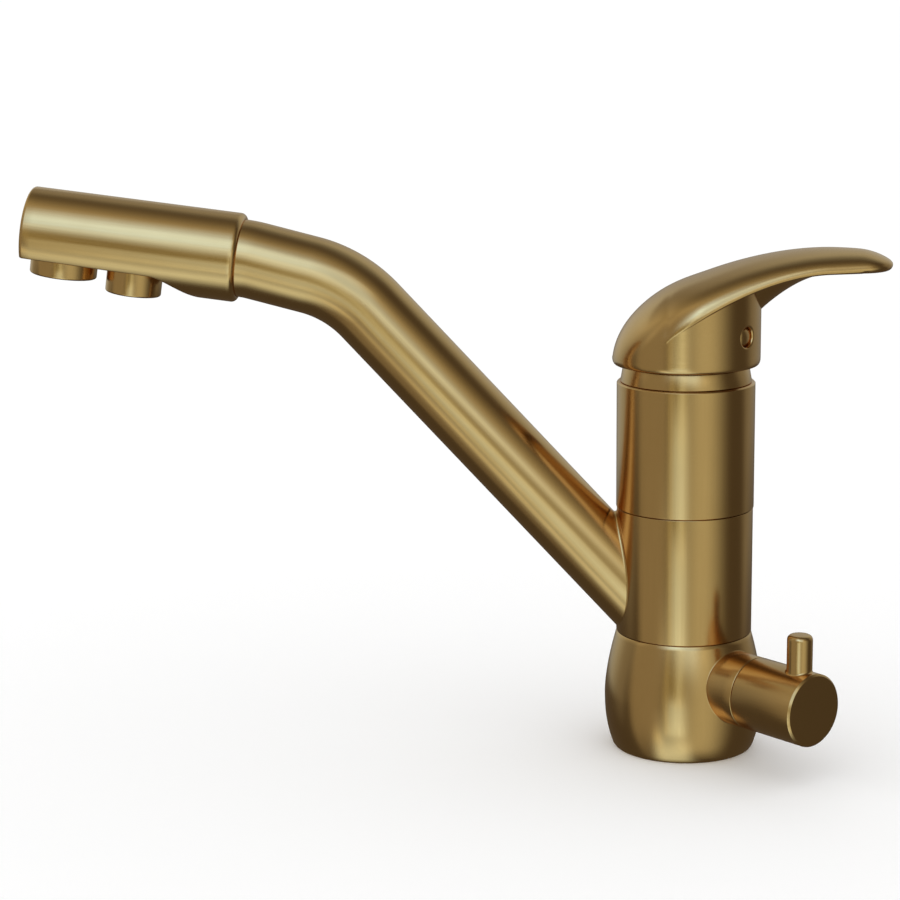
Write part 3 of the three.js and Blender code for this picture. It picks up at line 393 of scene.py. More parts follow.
def metalFinish(name, look, ownGrain=False):
    material, tree, shader = newMaterial(name)
    if ownGrain:
        place = putNode(tree, "ShaderNodeAttribute", attribute_name="grainPlace").outputs["Vector"]
    else:
        place = putNode(tree, "ShaderNodeTexCoord").outputs["Object"]
    values = {label: look[label.lower()] for label in ("Across", "Along", "Cloud")}
    brushed = putNode(tree, "ShaderNodeGroup", {"Place": place, **values}, node_tree=brushedGrain)
    streak, cloud = brushed.outputs["Streak"], brushed.outputs["Cloud"]
    tint = mixColour(tree, spread(tree, cloud, 0, 1), look["colour"], look["colourDeep"])
    streakShare = spread(tree, streak, 0, look["streakTint"])
    streaked = mixColour(tree, streakShare, tint, look["streakColour"])
    # painted reflection: metal that is seen in metal is deeper in colour, a tint painted onto
    # glossy rays that stands in for the orange glow between parts
    paintedReflection = putNode(tree, "ShaderNodeLightPath").outputs["Is Glossy Ray"]
    colour = mixColour(tree, paintedReflection, streaked, look["paintedReflection"])
    low, high = look["roughness"] - look["streakRough"], look["roughness"] + look["streakRough"]
    patch = spread(tree, cloud, -look["cloudRough"], look["cloudRough"])
    rough = maths(tree, "ADD", spread(tree, streak, low, high), patch)
    linkShader(tree, shader, colour, rough, streak, look["bump"])
    shader.inputs["Metallic"].default_value = 1.0
    return material


def mouldedFinish(name, look):
    material, tree, shader = newMaterial(name)
    place = putNode(tree, "ShaderNodeTexCoord").outputs["Object"]
    values = {"Place": place, "Fine": look["fine"], "Broad": look["broad"]}
    moulded = putNode(tree, "ShaderNodeGroup", values, node_tree=mouldedGrain)
    fine, broad = moulded.outputs["Fine"], moulded.outputs["Broad"]
    tint = mixColour(tree, spread(tree, broad, 0, 1), look["colour"], look["colourDeep"])
    low, high = look["roughness"] - look["fineRough"], look["roughness"] + look["fineRough"]
    linkShader(tree, shader, tint, spread(tree, fine, low, high), fine, look["bump"])
    return material


bronzeLook = {
    "colour": (0.575, 0.432, 0.2, 1),
    "colourDeep": (0.555, 0.412, 0.187, 1),
    "streakColour": (0.49, 0.355, 0.15, 1),
    # painted reflection tint: the deeper orange that glossy rays see on the bronze, for the glow
    # between parts
    "paintedReflection": (0.62, 0.34, 0.13, 1),
    "streakTint": 0.25,
    "roughness": 0.2,
    "streakRough": 0.03,
    "cloudRough": 0.012,
    "bump": 0.10,
    "across": 2600.0,
    "along": 26.0,
    "cloud": 60.0,
}
brassLook = {
    **bronzeLook,
    "colour": (0.66, 0.5, 0.22, 1),
    "colourDeep": (0.6, 0.44, 0.18, 1),
    "roughness": 0.34,
}
steelLook = {
    **bronzeLook,
    "colour": (0.58, 0.58, 0.57, 1),
    "colourDeep": (0.5, 0.5, 0.49, 1),
    "streakColour": (0.42, 0.42, 0.42, 1),
    # painted reflection tint: the colour that glossy rays see on the steel
    "paintedReflection": (0.5, 0.5, 0.5, 1),
    "roughness": 0.3,
}
mouldedLook = {
    "colour": (0.78, 0.76, 0.7, 1),
    "colourDeep": (0.72, 0.7, 0.64, 1),
    "roughness": 0.45,
    "fineRough": 0.05,
    "fine": 1200.0,
    "broad": 70.0,
    "bump": 0.06,
}
greyLook = {
    **mouldedLook,
    "colour": (0.16, 0.165, 0.17, 1),
    "colourDeep": (0.12, 0.125, 0.13, 1),
}
ceramicLook = {
    **mouldedLook,
    "colour": (0.86, 0.85, 0.81, 1),
    "colourDeep": (0.8, 0.79, 0.75, 1),
    "roughness": 0.2,
    "fine": 900.0,
    "broad": 60.0,
    "bump": 0.03,
}
rubberLook = {
    **mouldedLook,
    "colour": (0.018, 0.018, 0.018, 1),
    "colourDeep": (0.03, 0.03, 0.03, 1),
    "roughness": 0.6,
    "fine": 1600.0,
    "broad": 90.0,
    "bump": 0.15,
}
brushedGrain, mouldedGrain = brushedGrainGroup(), mouldedGrainGroup()
finishes = {
    "bronze": metalFinish("satinBronzeInner", bronzeLook),
    "brass": metalFinish("turnedBrass", brassLook),
    "steel": metalFinish("screwSteel", steelLook),
    "ceramic": mouldedFinish("discCeramic", ceramicLook),
    "seal": mouldedFinish("sealRubber", rubberLook),
    "plastic": mouldedFinish("whiteMoulding", mouldedLook),
    "insert": mouldedFinish("greyMoulding", greyLook),
}
outerFinishes = {**finishes, "bronze": metalFinish("satinBronze", bronzeLook, ownGrain=True)}
for part in frame["record"]["subparts"]:
    node = frame["nodes"][part["node"]]
    if not node.material_slots:
        node.data.materials.append(None)
    node.material_slots[0].link = "OBJECT"
    node.material_slots[0].material = finishes[part["material_slot"]]
print("finishes made")

# base casting with its neck and the stub of the filter valve

base = {
    "footRadius": 25.2,
    "footRounding": 0.9,
    "footInset": 0.25,
    "widestRadius": 28.6,
    "widestHeight": 20.0,
    "top": 43.14,
    "upperCurve": 1.6,
    "lowerCurve": 2.5,
    "slipFloor": 41.9,
    "gasket": (20.2, 23.4, 2.1),  # inner and outer radius and depth of its groove
    # height, half height and depth of each groove, from below
    "neckGrooves": [
        (50.6, 1.3, 2.3),
        (57.6, 4.2, 2.5),
        (64.1, 1.3, 2.3),
        (70.6, 4.2, 2.5),
        (77.4, 1.3, 2.3),
    ],
    # distance from the axis, angle, radius and depth of each socket in the underside
    "sockets": [
        (9.5, 120, 4.6, 14),
        (9.5, 240, 4.6, 14),
        (15.5, -45, 4.6, 14),
        (14.5, 30, 3.4, 16),
    ],
    "socketSegments": 40,
    "stubFillet": 0.25,
    "stubEdge": 0.3,
    "stubLip": 0.6,
    "stubLipRise": 0.24,
    "stubSide": 32.0,  # where its straight side begins, past the fillet
    "stubInside": 14.0,  # where it begins inside the casting
    "stubShrink": 0.9,  # size there of the ring that follows its root
    "stubSegments": 128,
    "stubSearch": (8, 40),  # where its root is looked for, along its axis
    "boreRadius": 8.6,
    "boreFloor": 20.0,
}


def baseSide(b, steps=18):
    points = []
    for i in range(steps):
        height = b["footRounding"] + (b["widestHeight"] - b["footRounding"]) * i / steps
        fall = (1 - height / b["widestHeight"]) ** b["lowerCurve"]
        points.append((b["widestRadius"] - (b["widestRadius"] - b["footRadius"]) * fall, height))
    for i in range(steps + 1):
        height = b["widestHeight"] + (b["top"] - body["seamEdge"] - b["widestHeight"]) * i / steps
        fall = (i / steps) ** b["upperCurve"]
        points.append((b["widestRadius"] - (b["widestRadius"] - body["radius"]) * fall, height))
    return points


def baseProfile(b):
    slipInner, slipOuter = body["slipRadii"]
    grooveInner, grooveOuter, grooveTop = b["gasket"]
    neck, lip, lipTop = body["neckRadius"], body["lipRadius"], b["top"] + body["lipRise"]
    side = baseSide(b)
    corners = [
        (0, 0),
        (grooveInner, 0),
        (grooveInner, grooveTop),
        (grooveOuter, grooveTop),
        (grooveOuter, 0),
        (b["footRadius"] - b["footInset"], 0, b["footRounding"]),
        *side,
        (body["radius"] - body["seamEdge"], b["top"]),
        (lip, b["top"]),
        (lip, lipTop),
        (slipOuter, lipTop),
        (slipOuter, b["slipFloor"]),
        (slipInner, b["slipFloor"]),
        (slipInner, b["top"]),
        (neck, b["top"]),
    ]
    for height, half, depth in b["neckGrooves"]:
        corners += [(neck, height - half), (neck - depth, height - half)]
        corners += [(neck - depth, height + half), (neck, height + half)]
    return corners + [(neck, body["neckTop"]), (0, body["neckTop"])], side


def solidObject(name, points, faces):
    mesh = bpy.data.meshes.new(name)
    mesh.from_pydata([tuple(p * mm) for p in points], [], faces)
    cleanMesh(mesh)
    return addObject(name, mesh)


def socketCutter(b, below=2.0):
    points, faces = [], []
    for distance, angle, radius, depth in b["sockets"]:
        x, y = distance * cos(radians(angle)), distance * sin(radians(angle))
        profile = [(0, -below), (radius, -below), (radius, depth), (0, depth)]
        shellPoints, shellFaces = loft(turnedRings(profile, b["socketSegments"]))
        start = len(points)
        points.extend(shellPoints + np.array((x, y, 0)))
        faces.extend(tuple(start + k for k in face) for face in outward(shellPoints, shellFaces))
    return solidObject("socketCutter", points, faces)


def subtract(points, faces, cutter):
    blank = solidObject("cutBlank", points, outward(points, faces))
    cut = blank.modifiers.new("cut", "BOOLEAN")
    cut.operation, cut.solver, cut.object = "DIFFERENCE", "EXACT", cutter
    evaluated = blank.evaluated_get(bpy.context.evaluated_depsgraph_get())
    result = bpy.data.meshes.new_from_object(evaluated)
    newPoints = np.array([tuple(v.co) for v in result.vertices]) / mm
    newFaces = [tuple(face.vertices) for face in result.polygons]
    for item in (blank, cutter):
        bpy.data.objects.remove(item)
    bpy.data.meshes.remove(result)
    return newPoints, newFaces


def branchRows(root, foot, axis, corners, steps=5):
    # the rows of a round branch along its own corners, in line with the last ring of its root
    away = root[-1] - foot
    away -= np.outer(away @ axis, axis)
    away /= np.linalg.norm(away, axis=1)[:, None]
    return away, [foot + axis * reach + away * r for r, reach in softProfile(corners, steps)]


def stubShell(b, profile):
    angle = radians(valve["angle"])
    axis = np.array((cos(angle), sin(angle), 0))
    foot = np.array((0, 0, valve["height"]))
    radius, end, lip = valve["radius"], valve["stubReach"], valve["radius"] - b["stubLip"]
    sizes = (radius, b["stubFillet"], b["stubSegments"], b["stubSearch"])
    root = rootRings(profile, foot, axis, *sizes)
    corners = [
        (radius, b["stubSide"]),
        (radius, end, b["stubEdge"]),
        (lip, end),
        (lip, end + b["stubLipRise"]),
        (b["boreRadius"], end + b["stubLipRise"]),
        (b["boreRadius"], b["boreFloor"]),
        (0, b["boreFloor"]),
    ]
    rows = branchRows(root, foot, axis, corners)[1]
    inside = foot + axis * b["stubInside"]
    shrunk = inside + (root[0] - inside) * b["stubShrink"]
    start = [np.tile(inside, (b["stubSegments"], 1)), shrunk]
    points, faces = loft([*start, *root, *rows])
    ownFrame = shiftBy(*foot) @ turnAbout("Z", valve["angle"]) @ upToOut
    return inFrame(points, ownFrame.inverted()), faces, ownFrame


baseCorners, sideLine = baseProfile(base)
basePoints, baseFaces = loft(turnedRings(softProfile(baseCorners), body["segments"]))
basePoints, baseFaces = subtract(basePoints, baseFaces, socketCutter(base))
baseShells = [(basePoints, baseFaces, asBuilt), stubShell(base, sideLine)]
makePiece("baseCasting", baseShells, "body", ["base_body"])
print("base made")

# collar, upper body and cap

upper = {
    "bevel": 0.5,
    "softness": 0.2,
    "nutRadius": 21.9,
    "nutSeat": 131.04,
    "cartridgeRadius": 20.3,
}
cap = {
    "foot": 23.5,
    "top": 22.3,
    "bottom": 135.2,
    "height": 6.7,
    "wall": 1.4,
    "hole": 12.4,
    "softness": 0.2,
    "rounding": 1.5,
}


def collarCorners(b, bore):
    (slipInner, slipOuter), lipTop = b["slipRadii"], b["collarTop"] + b["lipRise"]
    return [
        (bore, b["collarBottom"]),
        (b["radius"], b["collarBottom"], b["seamEdge"]),
        (b["radius"], b["collarTop"], b["seamEdge"]),
        (b["lipRadius"], b["collarTop"]),
        (b["lipRadius"], lipTop),
        (slipOuter, lipTop),
        (slipOuter, b["slipFloor"]),
        (slipInner, b["slipFloor"]),
        (slipInner, b["collarTop"]),
        (bore, b["collarTop"]),
    ]


def upperCorners(b, u, bore):
    return [
        (bore, b["upperBottom"]),
        (b["upperRadius"], b["upperBottom"], b["seamEdge"]),
        (b["upperRadius"], b["upperTop"] - u["bevel"], u["softness"]),
        (b["upperRadius"] - u["bevel"], b["upperTop"], u["softness"]),
        (u["nutRadius"], b["upperTop"]),
        (u["nutRadius"], u["nutSeat"]),
        (u["cartridgeRadius"], u["nutSeat"]),
        (u["cartridgeRadius"], b["neckTop"]),
        (bore, b["neckTop"]),
    ]


def capCorners(c):
    top = c["bottom"] + c["height"]
    return [
        (c["foot"] - c["wall"], c["bottom"]),
        (c["foot"], c["bottom"], c["softness"]),
        (c["top"], top, c["rounding"]),
        (c["hole"], top),
        (c["hole"], top - c["wall"]),
        (c["top"] - c["wall"], top - c["wall"]),
    ]


bore = body["neckRadius"] + clearance
for name, corners, rides, replaced in (
    ("swivelCollar", collarCorners(body, bore), "spout", "spout_collar"),
    ("upperBody", upperCorners(body, upper, bore), "body", "upper_body"),
    ("domeCap", capCorners(cap), "body", "dome_cap"),
):
    turnedPiece(name, corners, rides, [replaced], loop=True, segments=body["segments"])
print("collar, upper body and cap made")

# lever: a round skirt that grows into a wing

lever = {
    "skirtRadius": 26.4,
    "rim": 141.5,
    "rimRounding": 1.0,
    "rimRise": 2.2,
    "hollowRadius": 25.2,
    "hollowEdge": 0.1,
    "hollowStraight": 3.0,
    "hollowTopRadius": 20.3,
    "hollowDepth": 8.7,
    "hollowRoof": 1.0,  # the least metal over the hollow
    "crown": 30.2,
    "reach": 72.1,
    "tipRadius": 11.5,
    "peakHeight": 41.5,
    "peakDistance": 50.0,
    "tipDrop": 2.0,
    "edgeThickness": 0.8,
    "tipThickness": 2.1,
    "edgeRun": 1.1,  # width of the rounding under the edge
    "tipRun": 2.4,
    "overhang": 0.6,
    "overhangFull": 14.0,  # where the overhang has its full width, from the body axis
    "start": -6.6,
    "startHeight": 11.0,
    "sideHeight": 33.6,
    "webDepth": 11.0,
    "webHalfWidth": 12.0,
    "webStart": 23.8,
    "webReach": 32.0,
    "crestBlend": 8.0,  # how far the rounding of the crest runs to each side of the body axis
    # how full each curve is: the power that its run is raised to
    "crestFront": 1.85,
    "crestTip": 2.0,
    "crestBack": 1.28,
    "edgeFront": 1.85,  # lower than the solid's side edge, and the web shallower
    "edgeTip": 2.0,
    "webRun": 1.84,
    "screwAngle": -36.0,
    "screwHeight": 11.7,
    "screwHole": 3.5,
    "screwDepth": 4.0,
    "screwSoftness": 0.8,
    "screwMargin": 1.6,  # of the wall round the hole that is meshed again
    "plugRadius": 3.4,
    "plugLength": 3.0,
    "plugRecess": 0.5,
    "plugCrown": 1.3,
}


def smoothStep(value, low, high):
    t = min(max((value - low) / (high - low), 0), 1)
    return t * t * (3 - 2 * t)


def leverHalfWidth(v, x):
    # of the plan outline, where the wing stands a little past the skirt
    skirt, tip = v["skirtRadius"], v["tipRadius"]
    tipCentre = v["reach"] - tip
    slope = (skirt - tip) / tipCentre
    start, end = skirt * slope, tipCentre + tip * slope
    ending = sqrt(1 - min(max((x - tipCentre) / tip, 0), 1) ** 2)
    past = v["overhang"] * smoothStep(x, v["start"], v["overhangFull"]) * ending
    if x <= start:
        return sqrt(max(skirt ** 2 - x ** 2, 0)) + past
    if x >= end:
        return tip * ending + past
    t = (x - start) / (end - start)
    atStart, atEnd = sqrt(skirt ** 2 - start ** 2), sqrt(tip ** 2 - (end - tipCentre) ** 2)
    return (1 - t) * atStart + t * atEnd + past


def toTip(v, x):
    return max((x - v["peakDistance"]) / (v["reach"] - v["peakDistance"]), 0)


def crestCurve(v, x):
    if x > v["peakDistance"]:
        return v["peakHeight"] - v["tipDrop"] * toTip(v, x) ** v["crestTip"]
    if x > 0:
        t = 1 - x / v["peakDistance"]
        return v["peakHeight"] - (v["peakHeight"] - v["crown"]) * t ** v["crestFront"]
    back = v["crown"] * sqrt(max(1 - (-x / v["skirtRadius"]) ** v["crestBack"], 0))
    return max(back, v["rimRise"])


def leverCrest(v, x):
    reach, step = v["crestBlend"], 0.1
    if abs(x) >= reach:
        return crestCurve(v, x)
    # one smooth curve over the body's axis, where the front and the back curve meet
    low, high = crestCurve(v, -reach), crestCurve(v, reach)
    lowSlope = (low - crestCurve(v, -reach - step)) / step * 2 * reach
    highSlope = (crestCurve(v, reach + step) - high) / step * 2 * reach
    t = (x + reach) / (2 * reach)
    bend = (2 * t ** 3 - 3 * t ** 2 + 1) * low + (3 * t ** 2 - 2 * t ** 3) * high
    return bend + t * (1 - t) ** 2 * lowSlope - t ** 2 * (1 - t) * highSlope


def leverSideEdge(v, x):
    toPeak = min(max((x - v["start"]) / (v["peakDistance"] - v["start"]), 0), 1)
    return v["sideHeight"] - (v["sideHeight"] - v["startHeight"]) * (1 - toPeak) ** v["edgeFront"]


def leverSide(v, x):
    behind = smoothStep(-x, -v["start"] / 2, v["skirtRadius"])
    thicker = (v["tipThickness"] - v["edgeThickness"]) * toTip(v, x) ** v["edgeTip"]
    edge = leverSideEdge(v, x) + v["edgeThickness"] + thicker
    side = (1 - behind) * edge + behind * v["rimRise"]
    return min(side, leverCrest(v, x))


def leverTop(v, x, y):
    # a half ellipse from the crest to the side, also round the tip
    across = min(abs(y) / max(leverHalfWidth(v, x), 1e-6), 1)
    tip = min(max((x - v["reach"] + v["tipRadius"]) / v["tipRadius"], 0), 1)
    rise = sqrt((1 - across ** 2) * (1 - tip ** 2))
    return leverSide(v, x) + (leverCrest(v, x) - leverSide(v, x)) * rise


def leverUnder(v, x, y):
    t = min(max((x - v["webStart"]) / v["webReach"], 0), 1)
    web = v["webDepth"] * (1 - t) ** v["webRun"] * max(1 - (y / v["webHalfWidth"]) ** 2, 0)
    under = max(leverSideEdge(v, x) - web, v["hollowDepth"] + v["hollowRoof"])
    # the edge is rounded by how far the place is from the outline
    tipCentre = v["reach"] - v["tipRadius"]
    inside = leverHalfWidth(v, x) - abs(y)
    if x > tipCentre:
        outline = v["tipRadius"] + v["overhang"] * (1 - toTip(v, x))
        inside = min(inside, outline - hypot(x - tipCentre, y))
    run = v["edgeRun"] + (v["tipRun"] - v["edgeRun"]) * toTip(v, x)
    part = min(max(1 - inside / run, 0), 1)
    high = leverSide(v, x)
    return high - (high - under) * sqrt(1 - part ** 2)


def crownRow(v, x, count):
    half = leverHalfWidth(v, x)
    across = np.sin(np.linspace(-np.pi / 2, np.pi / 2, count))
    return [(x, a * half, leverTop(v, x, a * half)) for a in across]


def wingRow(v, x, topCount, underCount=61):
    half = leverHalfWidth(v, x)
    across = np.sin(np.linspace(np.pi / 2, -np.pi / 2, underCount))[1:-1]
    under = [(x, a * half, leverUnder(v, x, a * half)) for a in across]
    return crownRow(v, x, topCount) + under


def leverShell(v, backSteps=44, topCount=65, frontSteps=72, tipSteps=22, wallRows=22, sideCount=90,
               rimSteps=6):
    radius = v["skirtRadius"]
    startAngle = acos(v["start"] / radius)
    backAngles = np.linspace(pi, startAngle, backSteps)
    backRows = [crownRow(v, radius * cos(a), topCount) for a in backAngles]
    tipCentre = v["reach"] - v["tipRadius"]
    xs = list(np.linspace(v["start"], tipCentre, frontSteps))
    xs += [tipCentre + v["tipRadius"] * s for s, _ in quarterTurn(tipSteps)[1:]]
    wingRows = [wingRow(v, x, topCount) for x in xs]

    sides = list(np.linspace(startAngle, -startAngle, sideCount + 2))[1:-1]
    angles = list(backAngles) + sides + [-a for a in reversed(backAngles[1:])]
    tops = []
    for a in angles:
        x, y = radius * cos(a), radius * sin(a)
        if abs(a) >= startAngle - 1e-9:
            tops.append(leverSide(v, x))
        else:
            tops.append((leverTop(v, x, y) + leverUnder(v, x, y)) / 2)
    rim = v["rimRise"]
    rows = [
        [(a, rim + (top - rim) * i / wallRows) for a, top in zip(angles, tops)]
        for i in range(wallRows + 1)
    ]
    lower = [
        (radius - v["rimRounding"] * (1 - c), rim * (1 - s)) for s, c in quarterTurn(rimSteps)
    ]
    lower += [
        (v["hollowRadius"] + v["hollowEdge"], 0),
        (v["hollowRadius"], v["hollowEdge"]),
        (v["hollowRadius"], v["hollowStraight"]),
        (v["hollowTopRadius"], v["hollowDepth"]),
        (0, v["hollowDepth"]),
    ]
    skirtRings = [[roundPoint(r, a, h) for a in angles] for r, h in lower]

    points, faces = [], []
    for somePoints, someFaces in (
        loft(wingRows),
        loft(backRows, closed=False),
        skirtWall(v, rows),
        loft(skirtRings),
    ):
        start = len(points)
        points.extend(tuple(p) for p in somePoints)
        faces.extend(tuple(start + k for k in face) for face in someFaces)
    # inside the metal, the wing's underside joins the top of the wall in front
    front = [j for j, a in enumerate(angles) if abs(a) <= startAngle + 1e-9]
    start = len(points)
    points.extend(roundPoint(radius, *rows[-1][j]) for j in front)
    points.extend(reversed(wingRows[0][topCount:]))
    faces.append(tuple(range(start, len(points))))
    return inFrame(points, upToOut.inverted()), faces, shiftBy(0, 0, v["rim"]) @ upToOut


def skirtWall(v, rows):
    # the wall is a grid of (angle, height) with a round hole for the set screw let into it
    radius, holeAngle = v["skirtRadius"], radians(v["screwAngle"])
    hole, soft, deep = v["screwHole"], v["screwSoftness"], v["screwDepth"]
    outer = hole + soft
    patch = outer + v["screwMargin"]
    angles = [a for a, _ in rows[0]]
    near = [j for j, a in enumerate(angles) if abs(a - holeAngle) * radius < patch]
    left, right = near[0], near[-1]
    heights = [row[(left + right) // 2][1] for row in rows]
    span = [i for i, h in enumerate(heights) if abs(h - v["screwHeight"]) < patch]
    low, high = span[0], span[-1]
    points, index, faces = [], {}, []

    def onWall(i, j):
        j %= len(angles)
        if (i, j) not in index:
            index[i, j] = len(points)
            points.append(roundPoint(radius, *rows[i][j]))
        return index[i, j]

    for i in range(len(rows) - 1):
        for j in range(len(angles)):
            if not (low <= i < high and left <= j < right):
                square = ((i, j), (i, j + 1), (i + 1, j + 1), (i + 1, j))
                faces.append(tuple(onWall(*corner) for corner in square))
    border = [(low, j) for j in range(left, right)] + [(i, right) for i in range(low, high)]
    border += [(high, j) for j in range(right, left, -1)]
    border += [(i, left) for i in range(high, low, -1)]
    rings = [[onWall(i, j) for i, j in border]]
    flat = []
    for i, j in border:
        a, h = rows[i][j]
        flat.append((radius * (a - holeAngle), h - v["screwHeight"]))
    turns = [atan2(h, u) for u, h in flat]
    c, s = cos(holeAngle), sin(holeAngle)

    def addRing(places, depth):
        rings.append(list(range(len(points), len(points) + len(places))))
        for u, h in places:
            out = sqrt(radius ** 2 - u ** 2) - depth
            points.append((c * out - s * u, s * out + c * u, v["screwHeight"] + h))

    def circle(size):
        return [(size * cos(turn), size * sin(turn)) for turn in turns]

    for t in (0.3, 0.6, 0.85, 1.0):  # from the square border to the round hole
        pairs = zip(flat, circle(outer))
        addRing([(u + (ringU - u) * t, h + (ringH - h) * t) for (u, h), (ringU, ringH) in pairs], 0)
    for across, along in quarterTurn(6)[1:]:
        addRing(circle(hole + soft * (1 - across)), soft * (1 - along))
    addRing(circle(hole), deep)
    addRing(circle(0.0), deep)
    count = len(border)
    for a, b in zip(rings, rings[1:]):
        faces += [(a[k], a[(k + 1) % count], b[(k + 1) % count], b[k]) for k in range(count)]
    return points, faces


makePiece("leverHandle", [leverShell(lever)], "lever", ["lever_handle"])


def plugCorners(v, steps=14):
    face = v["skirtRadius"] - v["plugRecess"]
    curve = quarterTurn(steps)[:-1]
    dome = [(v["plugRadius"] * c, face - v["plugCrown"] * (1 - s)) for s, c in curve]
    back = face - v["plugLength"]
    return [(0, back), (v["plugRadius"], back), *dome, (0, face)]


plugHeight = shiftBy(0, 0, lever["rim"] + lever["screwHeight"])
plugFrame = plugHeight @ turnAbout("Z", lever["screwAngle"]) @ upToOut
turnedPiece("leverPlug", plugCorners(lever), "lever", ["lever_plug"], plugFrame, segments=64)
print("lever made")

# spout tube, swept along its centre line, and the hollow curve at its root

spoutRoot = {
    "proud": 0.02,  # of the tube
    "fillet": 0.8,
    "segments": 128,
    "steps": 5,
    "search": (10, 90),  # along the tube's axis
    "innerPlace": (0, 0, 65.0),  # where its hidden side closes
    "innerShare": 0.015,
    "outerShare": 0.005,
    "sharp": 80,
}


def tubeTree():
    tree, given, made = newTree(
        "tubeAlongPath",
        "GeometryNodeTree",
        {"Geometry": "Geometry", "Radius": "Float", "Sides": "Int", "Finish": "Material"},
        {"Geometry": "Geometry"},
    )

    def marked(geometry, name, value, kind="FLOAT_VECTOR"):
        values = {"Geometry": geometry, "Name": name, "Value": value}
        node = "GeometryNodeStoreNamedAttribute"
        return firstOut(tree, node, values, data_type=kind, domain="POINT")

    def readBack(name, kind):
        node = "GeometryNodeInputNamedAttribute"
        return putNode(tree, node, {"Name": name}, data_type=kind).outputs["Attribute"]

    along = putNode(tree, "GeometryNodeSplineParameter").outputs["Length"]
    path = firstOut(tree, "GeometryNodeMeshToCurve", {"Mesh": given["Geometry"]})
    path = marked(path, "alongPath", along, "FLOAT")
    values = {"Resolution": given["Sides"], "Radius": given["Radius"]}
    ring = firstOut(tree, "GeometryNodeCurvePrimitiveCircle", values)
    ring = marked(ring, "roundTube", firstOut(tree, "GeometryNodeInputPosition"))
    values = {"Curve": path, "Profile Curve": ring, "Fill Caps": True}
    tube = firstOut(tree, "GeometryNodeCurveToMesh", values)
    split = putNode(tree, "ShaderNodeSeparateXYZ", {0: readBack("roundTube", "FLOAT_VECTOR")})
    values = {"X": split.outputs["X"], "Y": split.outputs["Y"], "Z": readBack("alongPath", "FLOAT")}
    grained = marked(tube, "grainPlace", firstOut(tree, "ShaderNodeCombineXYZ", values))
    endTree(tree, grained, given, made)
    return tree


def endTree(tree, geometry, given, made):
    whole = firstOut(tree, "GeometryNodeRealizeInstances", {"Geometry": geometry})
    values = {"Geometry": whole, "Material": given["Finish"]}
    tree.links.new(firstOut(tree, "GeometryNodeSetMaterial", values), made["Geometry"])


def runTree(name, tree, values, startMesh):
    # sets the named inputs, evaluates the tree and hands back a plain mesh
    seed = addObject(name + "Seed", startMesh)
    modifier = seed.modifiers.new(name, "NODES")
    modifier.node_group = tree
    sockets = {
        item.name: item.identifier for item in tree.interface.items_tree if item.in_out == "INPUT"
    }
    for label, value in values.items():
        modifier[sockets[label]] = value
    evaluated = seed.evaluated_get(bpy.context.evaluated_depsgraph_get())
    mesh = bpy.data.meshes.new_from_object(evaluated)
    mesh.name = name
    seed.modifiers.remove(modifier)
    bpy.data.objects.remove(seed)
    return mesh


def spoutRootShell(r, p):
    rise = radians(p["rise"])
    line = [(body["radius"], body["collarBottom"]), (body["radius"], body["collarTop"])]
    foot, axis = (0, 0, p["axisHeight"]), (-cos(rise), 0, sin(rise))
    sizes = (p["radius"] + r["proud"], r["fillet"], r["segments"], r["search"], r["steps"])
    rings = rootRings(line, foot, axis, *sizes)
    inner = rings[0] + (np.array(r["innerPlace"]) - rings[0]) * r["innerShare"]
    outer = rings[-1] + (rings[-1].mean(0) - rings[-1]) * r["outerShare"]
    return (*loft([inner, *rings, outer]), asBuilt)


pathMesh = bpy.data.meshes.new("spoutPath")
pathMesh.from_pydata(
    [(x * mm, 0, z * mm) for x, z in spoutLine],
    [(i, i + 1) for i in range(len(spoutLine) - 1)],
    [],
)
tubeValues = {
    "Radius": spoutPath["radius"] * mm,
    "Sides": spoutPath["sides"],
    "Finish": outerFinishes["bronze"],
}
tubeMesh = runTree("spoutTube", tubeTree(), tubeValues, pathMesh)
dress(tubeMesh, "spoutTube", "spout", ["spout_tube"])
rootShell = spoutRootShell(spoutRoot, spoutPath)
makePiece("spoutRootFillet", [rootShell], "spout", sharp=spoutRoot["sharp"])
print("spout made")

# outlet head with its two aerators

head = {
    "radius": 16.1,
    "length": 78.1,
    "rimRounding": 2.0,
    "endRounding": 1.3,
    "endMiddle": 0.12,  # height of the end face's middle, as a share of the radius
    "socketRadius": 14.07,
    "socketDepth": 8.0,
    "socketEdge": 0.05,
    "flatDepth": 9.1,
    "flatTilt": 0.8,
    "flatStart": 31.5,
    "roundStart": 3.0,
    "scoopStart": 11.0,
    "cornerRounding": 0.55,
    "cornerShare": 0.4,  # the most of the flat's depth that the corners take
}
aerators = {
    "main": {"along": 64.4, "radius": 12.1, "stand": 6.0, "thread": 10.3, "bore": 9.2, "ribs": 18},
    "filter": {"along": 38.2, "radius": 10.1, "stand": 8.9, "thread": 8.5, "bore": 7.0, "ribs": 12},
}
aerator = {
    "threadTop": 4.0,
    "seam": 0.12,
    "lip": 0.6,
    "lipHeight": 0.7,
    "softness": 0.15,
    "rounding": 0.8,
    "insertTop": 3.0,
    "insertRise": 1.4,
    "insertRoom": 0.3,
    "rings": 3,
    "bar": 0.28,
    "barRoom": 0.5,
    "barSink": 0.1,
}


